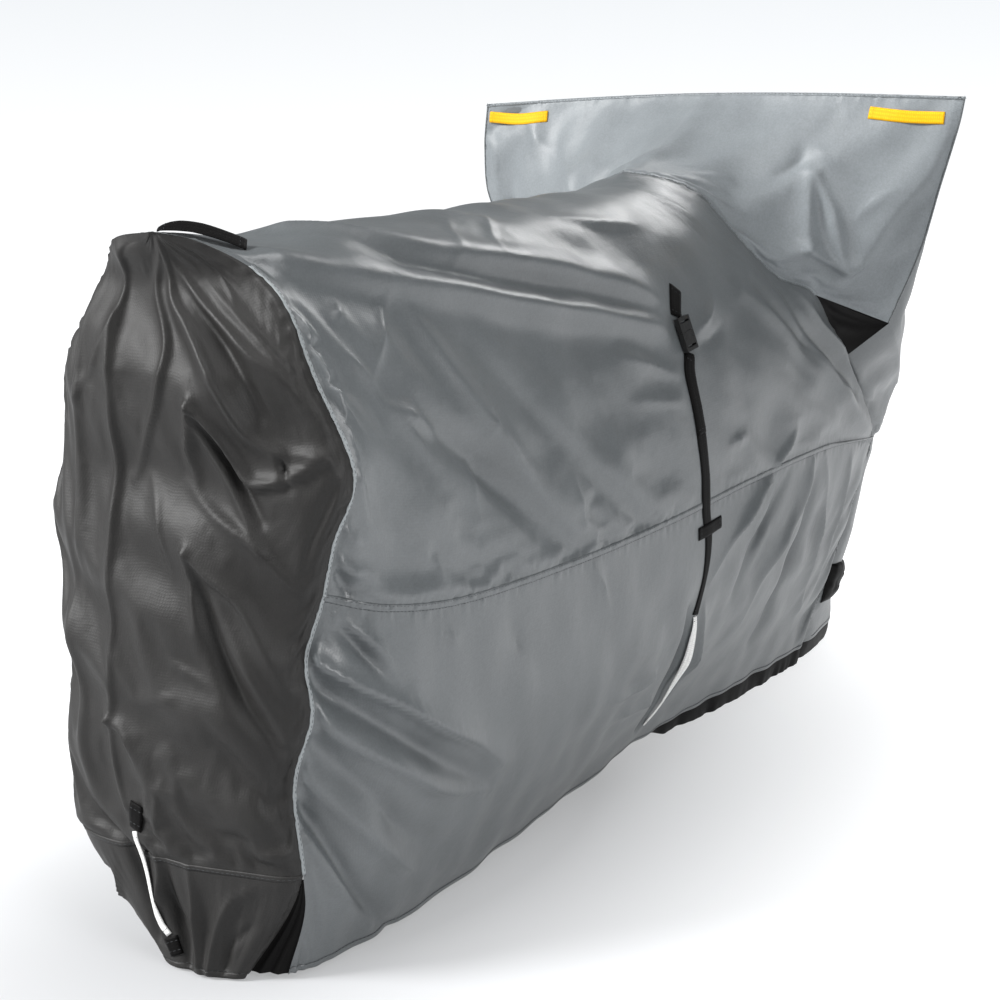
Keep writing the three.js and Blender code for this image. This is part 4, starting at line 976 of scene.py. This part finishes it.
def flat_strip(name, tracks, outside, thick, lay, material):
    """A flat strip of tape or webbing along rows of points across it, closed, with rounded edges."""
    normals = unit(cross_normals(tracks))
    normals *= np.where(np.sum(normals * outside, axis=2, keepdims=True) < 0, -1, 1)
    rows, columns = tracks.shape[:2]
    crown = np.ones(columns)
    crown[[0, -1]] = TAPE_EDGE
    base = tracks + normals * lay
    top = base + normals * (thick * crown)[:, None]
    loop = np.concatenate([top, base[:, ::-1]], axis=1)
    around = loop.shape[1]
    index = np.arange(rows * around).reshape(rows, around)
    after = np.roll(index, -1, axis=1)
    faces = np.stack([index[:-1], after[:-1], after[1:], index[1:]], axis=2).reshape(-1, 4).tolist()
    for row in (index[0], index[-1]):
        for k in range(columns - 1):
            faces.append([row[k], row[k + 1], row[around - 2 - k], row[around - 1 - k]])
    over = gone_along(tracks[rows // 2])
    over = np.concatenate([over, over[::-1]])
    along = gone_along(tracks[:, columns // 2])
    flat = np.stack(np.broadcast_arrays(over[None], along[:, None]), axis=2)
    return new_piece(name, loop, faces, material, flat, closed=True), top, normals


# Lines of stitching, as points and the way out of the cloth, gathered here and sewn in a later section
stitch_lines = {"dark": [], "pale": []}


def fell(name, tracks, outside, material, stitched):
    """A felled seam, with rows of stitches along some of its tracks."""
    piece, top, normals = flat_strip(name, np.stack(tracks, axis=1), outside, TAPE_THICK, TAPE_LAY, material)
    for track in stitched:
        stitch_lines["dark"].append((top[:, track], normals[:, track]))


PIPING = coated_polyester("pale felled tape", "#93989A", roughness=0.45)
# The pale tape stops this many steps short of the point behind the saddle
TAPE_ENDS = 22
HEM_TRACKS = (9.0, 6.0, 3.0, 0.3)
JOIN_TRACKS = (6.0, 3.0, 0.5)
crown_run = slice(RUN["vent"], RUN["vent"] + RUN["crown"] + 1)
for side, word in SIDE_WORDS.items():
    lower_grid = SIDES[side]["lower draped"]
    half = upper_grid[:, :spine + 1] if side == RIGHT else upper_grid[:, :spine - 1:-1]
    rear_side, front_side = ("first", "foot") if side == RIGHT else ("final", "top")
    from_this_side = slice(None, None, 1 if side == RIGHT else -1)
    body_lines = zip(*(insets(grid, "foot", 1.0, 2.5, 4.0) for grid in (lower_grid, half)))
    seam_tracks = insets(rear_grid, rear_side, 2.0, 0.4)
    seam_tracks += [np.vstack([low[RUN["skirt"]:], high[1:]]) for low, high in body_lines]
    fell("rear_seam_fell_" + word, [track[:-TAPE_ENDS] for track in seam_tracks], (-0.6, side, 0.2), PIPING,
         stitched=[3])
    side_tracks = insets(lower_grid, "final", 2.5, 0.5) + insets(half, "first", 2.0, 5.0, 8.0)
    fell("side_seam_fell_" + word, side_tracks, (0, side, 0.1), GREY, stitched=[0, 3])
    cheek_tracks = [line[:RUN["cheek"] + 1] for line in insets(half, "top", *JOIN_TRACKS)]
    cheek_line = insets(hood_front_grid, "foot", 2.0)[0][from_this_side][:RUN["cheek"] + 1]
    cheek_tracks.append(cheek_line[::-1])
    fell("cheek_seam_fell_" + word, cheek_tracks, (0, side, 0.3), GREY, stitched=[1])
    crown_tracks = [line[RUN["cheek"] + RUN["vent"]:] for line in insets(half, "top", 5.0, 2.5, 0.5)]
    crown_tracks += [line[from_this_side][crown_run] for line in insets(hood_back_grid, "foot", 2.5, 5.0)]
    fell("hood_seam_fell_" + word, crown_tracks, (-0.4, side * 0.5, 0.8), GREY_PAINTED_LIGHTER, stitched=[1])
    hem_tracks = insets(lower_grid, "first", *HEM_TRACKS)
    fell("turned_hem_" + word, hem_tracks, (0, side, 0), GREY, stitched=[0])
    join_tracks = insets(lower_grid, "top", *JOIN_TRACKS) + insets(front_grid, front_side, 2.0)
    fell("front_seam_fell_" + word, join_tracks, (0.4, side, 0), GREY, stitched=[1])
    edge_tracks = insets(hood_back_grid, rear_side, 4.0, 2.0, 0.4)
    fell("hood_edge_fell_" + word, edge_tracks, (-0.6, side, 0.3), GREY, stitched=[1])

ridge_tracks = insets(hood_back_grid, "top", *JOIN_TRACKS) + insets(hood_front_grid, "top", 2.0)
fell("hood_ridge_fell", ridge_tracks, (-0.3, 0, 1), GREY_PAINTED_LIGHTER, stitched=[1])
skirt_tracks = insets(skirt_grid, "top", *JOIN_TRACKS) + insets(rear_grid, "foot", 2.0)
fell("skirt_seam_fell", skirt_tracks, (-1, 0, 0), CHARCOAL, stitched=[1])
skirt_hem = insets(skirt_grid, "foot", *HEM_TRACKS)
fell("skirt_turned_hem", skirt_hem, (-1, 0, 0), CHARCOAL, stitched=[0])
front_hem = insets(front_grid, "first", *HEM_TRACKS)
fell("front_turned_hem", front_hem, (1, 0, 0), GREY, stitched=[0])


# Webbing: woven polyester tape, black for the belt and tabs, white for the straps in the slits, yellow for
# the grab tapes. Each is laid on the cloth, bridges its hollows, and is sewn down at its ends.
RIB_DRAWN = 0.004
LANE_WIDE = 0.007


def woven_tape(name, colour, roughness):
    """Polyester webbing: ribs across the tape, a faint herringbone along it and slightly fuzzy sides.
    The 1.1 mm rib is drawn at 4 mm, or it would not show."""
    material, tree, shader, place = new_material(name)
    across = ribs(tree, place, RIB_DRAWN, distortion=0.8, way="Y", detail=1)
    lanes = ribs(tree, place, LANE_WIDE, distortion=0.3, way="X")
    weave = combined(tree, "MULTIPLY", across, lanes)
    mixed = combined(tree, "ADD", weave, noise(tree, place, scale=320, detail=3))
    tinted(tree, shader, colour, ranged(tree, mixed, start=(0.3, 1.5), end=(0.78, 1.12)))
    bumped(tree, shader, mixed, strength=0.35, distance=0.0006)
    shader.inputs["Roughness"].default_value = roughness
    shader.inputs["Specular IOR Level"].default_value = 0.1
    shader.inputs["Sheen Weight"].default_value = 0.01
    return material


WEBBING = {
    "black": woven_tape("black polyester webbing", "#0B0A0A", roughness=0.65),
    "white": woven_tape("white polyester webbing", "#F6F6F4", roughness=0.6),
    "yellow": woven_tape("yellow polyester webbing", "#F0B41C", roughness=0.55),
}
WEBBING_THICK = 1.6
WEBBING_LAY = 0.35
# Step of the grid along the webbing, how finely its path is measured, and its points across
WEBBING_STEP = 4
FEWEST_STEPS = 8
LENGTH_SAMPLES = 200
TRACKS = 7
# The rise of a strap that stands off the cloth is rounder than a half wave by this power
ARCH = 0.8
STITCHED_ROWS = (2, -3)
OUT = {"right": (0, -1, 0), "rear": (-1, 0, 0), "top": (0, 0, 1)}
FAR_OUT = 2000


def surface_tree(*grids):
    """Something to lay webbing on: a search tree over the draped panels."""
    points, faces = [], []
    for grid in grids:
        faces += (grid_faces(*grid.shape[:2]) + len(points)).tolist()
        points += grid.reshape(-1, 3).tolist()
    return BVHTree.FromPolygons(points, faces)


laid_on = [surface_tree(rear_grid, skirt_grid, upper_grid, SIDES[RIGHT]["lower draped"], front_grid,
                        hood_back_grid)]


def standing(face, marks):
    """How far out the outermost layer stands at places on a face; past the cloth it is not a number."""
    out = np.array(OUT[face], float)
    heights = np.full(marks.shape[:2], np.nan)
    for place in np.ndindex(*heights.shape):
        a, b = marks[place]
        start = {"right": (a, 0, b), "rear": (0, a, b), "top": (a, b, 0)}[face] + out * FAR_OUT
        met = [tree.ray_cast(Vector(start), Vector(-out))[3] for tree in laid_on]
        met = [distance for distance in met if distance is not None]
        if met:
            heights[place] = FAR_OUT - min(met)
    return heights


def marked_out(path, steps, wide, columns):
    """Places on a face in rows across a path."""
    run = even_run(smooth_line(path), 0, len(path) - 1, steps)
    along = unit(np.gradient(run, axis=0))
    across = np.stack([-along[:, 1], along[:, 0]], axis=1)
    wide = np.atleast_1d(wide)
    wide = np.interp(np.linspace(0, 1, steps + 1), np.linspace(0, 1, len(wide)), wide)[:, None]
    shares = np.linspace(-0.5, 0.5, columns)
    return run[:, None] + across[:, None] * (wide * shares)[..., None], wide, shares


def lay_webbing(node, colour, face, path, width, pull=16, rise=0, roll=0):
    """A length of webbing laid along a path on a face of the cover, in place of its CAD solid."""
    length = gone_along(smooth_line(path)(np.linspace(0, len(path) - 1, LENGTH_SAMPLES)))[-1]
    steps = max(FEWEST_STEPS, int(length / WEBBING_STEP))
    marks, wide, shares = marked_out(path, steps, width, TRACKS)
    cloth = standing(face, marks)
    for k in range(TRACKS):
        known = ~np.isnan(cloth[:, k])
        cloth[:, k] = np.interp(np.arange(steps + 1), np.flatnonzero(known), cloth[known, k])
    height = cloth.copy()
    for _ in range(pull):
        easy = height.copy()
        easy[1:-1] = (height[:-2] + height[2:]) / 2
        height = np.maximum(cloth, easy)
    near, far = height[:, :1], height[:, -1:]
    height = np.maximum((near * -shares + far * shares) + 0.5 * (near + far), height)
    height = height + rise * np.sin(math.pi * np.linspace(0, 1, steps + 1))[:, None] ** ARCH
    height += roll * wide * (shares + 0.5)
    a, b = marks[..., 0], marks[..., 1]
    points = {"right": (a, -height, b), "rear": (-height, a, b), "top": (a, b, height)}[face]
    piece, top, normals = flat_strip(node + "_webbing", np.stack(points, axis=2), OUT[face], WEBBING_THICK,
                                     WEBBING_LAY, WEBBING[colour])
    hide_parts(node)
    laid_on.append(surface_tree(top))
    thread = "pale" if colour == "yellow" else "dark"
    stitch_lines[thread] += [(top[row, 1:-1], normals[row, 1:-1]) for row in STITCHED_ROWS]


# The belt: an upper end sewn to the flank and a long lower end with its doubled tail, joined by the buckle,
# with a keeper below; then the white strap that draws the slit together.
lay_webbing("belt_end", "black", "right", [(-68, 842), (-88, 812), (-94, 797)], width=30)
lay_webbing("belt", "black", "right",
            [(-84, 738), (-95, 700), (-84, 622), (-74, 543), (-70, 473), (-58, 425), (-50, 350), (-58, 290)],
            width=(30, 30, 30, 30, 30, 24, 18, 20))
lay_webbing("belt_tail", "black", "right", [(-86, 734), (-95, 698), (-80, 606)], width=29, pull=200)
lay_webbing("belt_keeper", "black", "right", [(-97, 438), (-58, 442), (-12, 446)], width=22)
lay_webbing("belt_strap", "white", "right",
            [(-58, 287), (-52, 256), (-41, 208), (-30, 156), (-20, 104), (-26, 66)],
            width=(10, 12, 12, 11, 9, 7), pull=60, rise=9)

# The rear strap in the slit of the skirt, between its two tabs.
lay_webbing("rear_tab_upper", "black", "rear", [(57, 226), (66, 188)], width=22)
lay_webbing("rear_strap", "white", "rear", [(66, 185), (58, 150), (48, 101), (34, 62), (22, 46)],
            width=9, pull=60)
lay_webbing("rear_tab_lower", "black", "rear", [(20, 43), (10, 20)], width=20)

# The handle behind the saddle, and the two grab tapes under the ridge of the hood.
lay_webbing("rear_handle", "black", "top", [(-1060, 26), (-1046, 4), (-1026, -29), (-1000, -64)],
            width=24, rise=9, roll=0.34)
lay_webbing("grab_tape_left", "yellow", "rear", [(496, 1132), (424, 1127), (354, 1132)], width=22, pull=80)
lay_webbing("grab_tape_right", "yellow", "rear", [(-324, 1132), (-395, 1124), (-464, 1121)], width=22,
            pull=80)


# Stitching: spun polyester thread, a lock stitch along every fell and across the ends of the webbing.
# The real stitch is 3.5 mm long; it is drawn at 5 mm on a 7 mm pitch, or it would not show.
STITCH = {"Pitch": 7.0, "Long": 5.0, "Thread": 0.7}
THREAD_SIDES = 6
THREAD_RINGS = 4
STITCH_COLOURS = {"dark": "#3B3E40", "pale": "#C98A12"}


def spun_thread(name, colour):
    """Spun polyester thread: matt, with a fine twist that breaks up its light."""
    material, tree, shader, place = new_material(name)
    twist = noise(tree, place, scale=900, detail=2)
    tinted(tree, shader, colour, ranged(tree, twist, start=(0.3, 0.7), end=(0.75, 1.2)))
    bumped(tree, shader, twist, strength=0.3, distance=0.0003)
    shader.inputs["Roughness"].default_value = 0.7
    return material


def stitching_tree(material):
    """Geometry nodes that lay a stitch at each step of a line, flat on the cloth."""
    tree = bpy.data.node_groups.new("stitching", "GeometryNodeTree")
    tree.interface.new_socket("Line", in_out="INPUT", socket_type="NodeSocketGeometry")
    for size in STITCH:
        tree.interface.new_socket(size, in_out="INPUT", socket_type="NodeSocketFloat")
    tree.interface.new_socket("Stitches", in_out="OUTPUT", socket_type="NodeSocketGeometry")
    given = add_node(tree, "NodeGroupInput").outputs
    curve = add_node(tree, "GeometryNodeMeshToCurve", [("Mesh", given["Line"])])
    steps = add_node(tree, "GeometryNodeResampleCurve",
                     [("Curve", curve.outputs["Curve"]), ("Length", given["Pitch"])], mode="LENGTH")
    way = add_node(tree, "GeometryNodeInputTangent")
    out = add_node(tree, "GeometryNodeInputNamedAttribute", (), [("Name", "way_out")],
                   data_type="FLOAT_VECTOR")
    lengthwise = add_node(tree, "FunctionNodeAlignRotationToVector", [("Vector", way.outputs["Tangent"])],
                          axis="X")
    upright = add_node(tree, "FunctionNodeAlignRotationToVector",
                       [("Rotation", lengthwise.outputs["Rotation"]), ("Vector", out.outputs["Attribute"])],
                       axis="Z", pivot_axis="X")
    bead = add_node(tree, "GeometryNodeMeshUVSphere", (),
                    [("Segments", THREAD_SIDES), ("Rings", THREAD_RINGS), ("Radius", 0.5)])
    size = add_node(tree, "ShaderNodeCombineXYZ",
                    [("X", given["Long"]), ("Y", given["Thread"]), ("Z", given["Thread"])])
    shaped = add_node(tree, "GeometryNodeTransform",
                      [("Geometry", bead.outputs["Mesh"]), ("Scale", size.outputs["Vector"])])
    sewn = add_node(tree, "GeometryNodeInstanceOnPoints",
                    [("Points", steps.outputs["Curve"]), ("Instance", shaped.outputs["Geometry"]),
                     ("Rotation", upright.outputs["Rotation"])])
    real = add_node(tree, "GeometryNodeRealizeInstances", [("Geometry", sewn.outputs["Instances"])])
    finished = add_node(tree, "GeometryNodeSetMaterial", [("Geometry", real.outputs["Geometry"])],
                        [("Material", material)])
    add_node(tree, "NodeGroupOutput", [("Stitches", finished.outputs["Geometry"])])
    return tree


for word, lines in stitch_lines.items():
    points, edges, ways = [], [], []
    for line, normals in lines:
        edges += [(len(points) + k, len(points) + k + 1) for k in range(len(line) - 1)]
        points += (line / 1000).tolist()
        ways += normals.tolist()
    mesh = bpy.data.meshes.new(word + "_stitch_lines")
    mesh.from_pydata(points, edges, [])
    way_out = mesh.attributes.new("way_out", "FLOAT_VECTOR", "POINT")
    way_out.data.foreach_set("vector", np.ravel(ways).astype(np.float32))
    guide = bpy.data.objects.new(word + "_stitch_guide", mesh)
    bpy.context.scene.collection.objects.link(guide)
    tree = stitching_tree(spun_thread(word + " polyester thread", STITCH_COLOURS[word]))
    nodes = guide.modifiers.new("stitching", "NODES")
    nodes.node_group = tree
    for socket in tree.interface.items_tree:
        if socket.name in STITCH:
            nodes[socket.identifier] = STITCH[socket.name] / 1000
    graph = bpy.context.evaluated_depsgraph_get()
    sewn_mesh = bpy.data.meshes.new_from_object(guide.evaluated_get(graph), depsgraph=graph)
    sewn_mesh.name = word + "_stitching"
    stitches = bpy.data.objects.new(word + "_stitching", sewn_mesh)
    bpy.context.scene.collection.objects.link(stitches)
    bpy.data.objects.remove(guide)
    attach(stitches, "root")


# Buckle: a side-release buckle moulded in black acetal, plug and socket. Both halves are the CAD's own
# shapes, with a fine spark-eroded grain on their faces.
def moulded_acetal(name, colour):
    """Black acetal from a spark-eroded mould: an even dull grain, a little brighter where it is worn."""
    material, tree, shader, place = new_material(name)
    wear = noise(tree, place, scale=120, detail=4)
    tinted(tree, shader, colour, ranged(tree, wear, start=(0.3, 0.75), end=(0.85, 1.3)))
    gloss = ranged(tree, wear, start=(0.3, 0.75), end=(0.6, 0.48))
    tree.links.new(gloss, shader.inputs["Roughness"])
    grain = noise(tree, place, scale=1400, detail=3)
    bumped(tree, shader, grain, strength=0.2, distance=0.0003)
    return material


ACETAL = moulded_acetal("black moulded acetal", "#0C0C0C")
for node in ("buckle_plug", "buckle_socket"):
    half = bpy.data.objects[node]
    half.data.materials.clear()
    half.data.materials.append(ACETAL)


# Front pouch: a small black bag sewn on beside the front wheel, in which the cover is packed away. It is
# soft and nearly empty, bulges between its bound edges, and its face is bare.
POUCH_PATH = [(742, 168), (800, 162), (860, 152), (925, 144)]
POUCH_WIDE = 84
POUCH_PUFF, POUCH_ROUND = 12, 0.6
POUCH_DENT, POUCH_DENT_LONG = 1.6, 40
POUCH_THICK = 0.8
POUCH_LAY = 0.4
POUCH_STEPS = (44, 28)
marks, _, shares = marked_out(POUCH_PATH, POUCH_STEPS[0], POUCH_WIDE, POUCH_STEPS[1] + 1)
lies = standing("right", marks)
known = ~np.isnan(lies)
lies[~known] = np.interp(np.flatnonzero(~known.ravel()), np.flatnonzero(known.ravel()), lies[known])
u = np.linspace(-1, 1, POUCH_STEPS[0] + 1)[:, None]
v = (shares * 2)[None, :]
puff = POUCH_PUFF * (1 - u ** 4) ** POUCH_ROUND * (1 - v ** 4) ** POUCH_ROUND
puff += POUCH_DENT * undulation(marks, POUCH_DENT_LONG, seed=71) * (1 - u ** 2) * (1 - v ** 2)
base = lies + POUCH_LAY
layers = [np.stack([marks[..., 0], -out, marks[..., 1]], axis=2) for out in (base + POUCH_THICK + puff, base)]
count = lies.size
face = grid_faces(*lies.shape)
pouch_faces = face.tolist() + (face[:, ::-1] + count).tolist()
index = np.arange(count).reshape(lies.shape)
rim = np.concatenate([index[0, :-1], index[:-1, -1], index[-1, :0:-1], index[:0:-1, 0]])
pouch_faces += np.stack([rim, np.roll(rim, -1), np.roll(rim, -1) + count, rim + count], axis=1).tolist()
front_pouch = new_piece("front_pouch_bag", np.stack(layers), pouch_faces, BLACK, closed=True)
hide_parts("front_pouch")


# Floor, light and camera: a round white studio with a pale floor. Floor and wall glow a little: painted light
# in place of the light that white paper lit from all sides gives back; a sun at the rear left is the key,
# with four soft boxes round it.
STUDIO_RADIUS = 20
STUDIO_TALL = 3.2
STUDIO_STEPS = 96
# The camera's line of sight over the floor; paper behind the camera, in metres along it, glows less
LINE_OF_SIGHT = (0.85, 0.53, 0)
BEHIND_SPAN, BEHIND_GLOW = (-2.6, -1.0), (0.12, 1)
# The cover's footprint as an oval, round which the floor's painted contact shadow lies, and the heights over
# which the paper grows duller
OVAL_SCALE, OVAL_SHIFT = (0.45, 1, 0), (0.27, 0, 0)
FADE_SPAN = (0.6, 3.0)


def from_middle(tree, place):
    """Distance from the middle of the cover's footprint, in an oval as long as the cover."""
    oval = add_node(tree, "ShaderNodeVectorMath", [(0, place)], [(1, OVAL_SCALE), (2, OVAL_SHIFT)],
                    operation="MULTIPLY_ADD")
    return add_node(tree, "ShaderNodeVectorMath", [(0, oval.outputs["Vector"])], operation="LENGTH")


def far_side(tree, place):
    """Distance along the camera's line of sight."""
    return add_node(tree, "ShaderNodeVectorMath", [(0, place)], [(1, LINE_OF_SIGHT)],
                    operation="DOT_PRODUCT")


def studio_paper(name, colour, measured, span, glow):
    """White paper whose glow is painted light, in place of the light it would give back lit from all sides.
    It glows more
    the farther along what is measured: on the floor, away from the cover, which paints a contact shadow round
    it. It glows less behind the camera; measured gives the node that this goes by."""
    material, tree, shader, place = new_material(name)
    shader.inputs["Base Color"].default_value = linear(colour)
    shader.inputs["Roughness"].default_value = 0.9
    shader.inputs["Specular IOR Level"].default_value = 0.1
    level = add_node(tree, "ShaderNodeSeparateXYZ", [("Vector", place["Object"])])
    height = ranged(tree, level.outputs["Z"], FADE_SPAN, (0, 1))
    fade = add_node(tree, "ShaderNodeValToRGB", [("Fac", height)])
    fade.color_ramp.elements[0].color = linear("#FDFEFF")
    fade.color_ramp.elements[1].color = linear("#EAEDF0")
    tree.links.new(fade.outputs["Color"], shader.inputs["Emission Color"])
    # Painted shadow: on the floor, the glow is least next to the cover
    light = ranged(tree, measured(tree, place["Object"]).outputs["Value"], span, glow)
    behind = ranged(tree, far_side(tree, place["Object"]).outputs["Value"], BEHIND_SPAN, BEHIND_GLOW)
    tree.links.new(combined(tree, "MULTIPLY", light, behind), shader.inputs["Emission Strength"])
    return material


def staged(name, points, faces, material):
    """A part of the studio, which does not belong to the cover."""
    mesh = bpy.data.meshes.new(name)
    mesh.from_pydata(points, [], faces)
    mesh.materials.append(material)
    piece = bpy.data.objects.new(name, mesh)
    bpy.context.scene.collection.objects.link(piece)


turns = [2 * math.pi * k / STUDIO_STEPS for k in range(STUDIO_STEPS)]
foot = [(STUDIO_RADIUS * math.cos(a), STUDIO_RADIUS * math.sin(a), 0) for a in turns]
head = [(x, y, STUDIO_TALL) for x, y, _ in foot]
# The floor glows least next to the cover: a painted contact shadow
FLOOR_PAPER = studio_paper("studio floor paper", "#949597", from_middle, span=(0.22, 0.75), glow=(0.36, 1.0))
staged("floor", foot, [list(range(STUDIO_STEPS))], FLOOR_PAPER)
WALL_PAPER = studio_paper("studio wall paper", "#303030", far_side, span=(2, 15), glow=(0.22, 1.06))
following = [(k + 1) % STUDIO_STEPS for k in range(STUDIO_STEPS)]
wall_faces = [(k, k + STUDIO_STEPS, after + STUDIO_STEPS, after) for k, after in enumerate(following)]
staged("backdrop", foot + head, wall_faces, WALL_PAPER)

world = bpy.data.worlds.new("studio")
bpy.context.scene.world = world
world.use_nodes = True
room = world.node_tree.nodes["Background"]
room.inputs["Color"].default_value = linear("#F4F7FC")
room.inputs["Strength"].default_value = 0.08


def soft_box(name, place, aim, size, power):
    lamp = bpy.data.lights.new(name, "AREA")
    lamp.shape = "RECTANGLE"
    lamp.size, lamp.size_y = size
    lamp.energy = power
    box = bpy.data.objects.new(name, lamp)
    box.location = place
    box.rotation_euler = (Vector(aim) - Vector(place)).to_track_quat("-Z", "Y").to_euler()
    bpy.context.scene.collection.objects.link(box)


soft_box("ceiling soft box", (-1.0, -0.9, 2.9), aim=(-0.6, -0.1, 0.6), size=(1.6, 1.2), power=28)
soft_box("back soft box", (2.6, 0.0, 2.75), aim=(-0.45, -0.15, 0.87), size=(1.4, 0.9), power=29)
soft_box("right soft box", (-1.6, -2.2, 1.2), aim=(-1.3, -0.2, 0.4), size=(1.0, 0.9), power=26)
soft_box("rear left soft box", (-3.0, 2.3, 1.5), aim=(-1.05, 0, 0.55), size=(1.0, 1.4), power=20)
KEY_FROM = (-0.60, 0.57, 0.56)
key_data = bpy.data.lights.new("key light", "SUN")
key_data.energy = 4.8
key_data.angle = math.radians(20)
key = bpy.data.objects.new("key light", key_data)
key.rotation_euler = Vector(KEY_FROM).to_track_quat("Z", "Y").to_euler()
bpy.context.scene.collection.objects.link(key)

CAMERA_PLACE = (-2.75, -1.53, 1.065)
CAMERA_TURN = 32
CAMERA_PITCH = 11
FOCAL_PIXELS = 1800
IMAGE_PIXELS = 1000
camera_data = bpy.data.cameras.new("camera")
camera_data.sensor_width = 36
camera_data.lens = FOCAL_PIXELS / IMAGE_PIXELS * camera_data.sensor_width
camera = bpy.data.objects.new("camera", camera_data)
camera.location = CAMERA_PLACE
turn, pitch = math.radians(CAMERA_TURN), math.radians(CAMERA_PITCH)
look = Vector((math.cos(turn) * math.cos(pitch), math.sin(turn) * math.cos(pitch), -math.sin(pitch)))
camera.rotation_euler = look.to_track_quat("-Z", "Y").to_euler()
bpy.context.scene.collection.objects.link(camera)
bpy.context.scene.camera = camera
bpy.context.scene.view_settings.view_transform = "Standard"
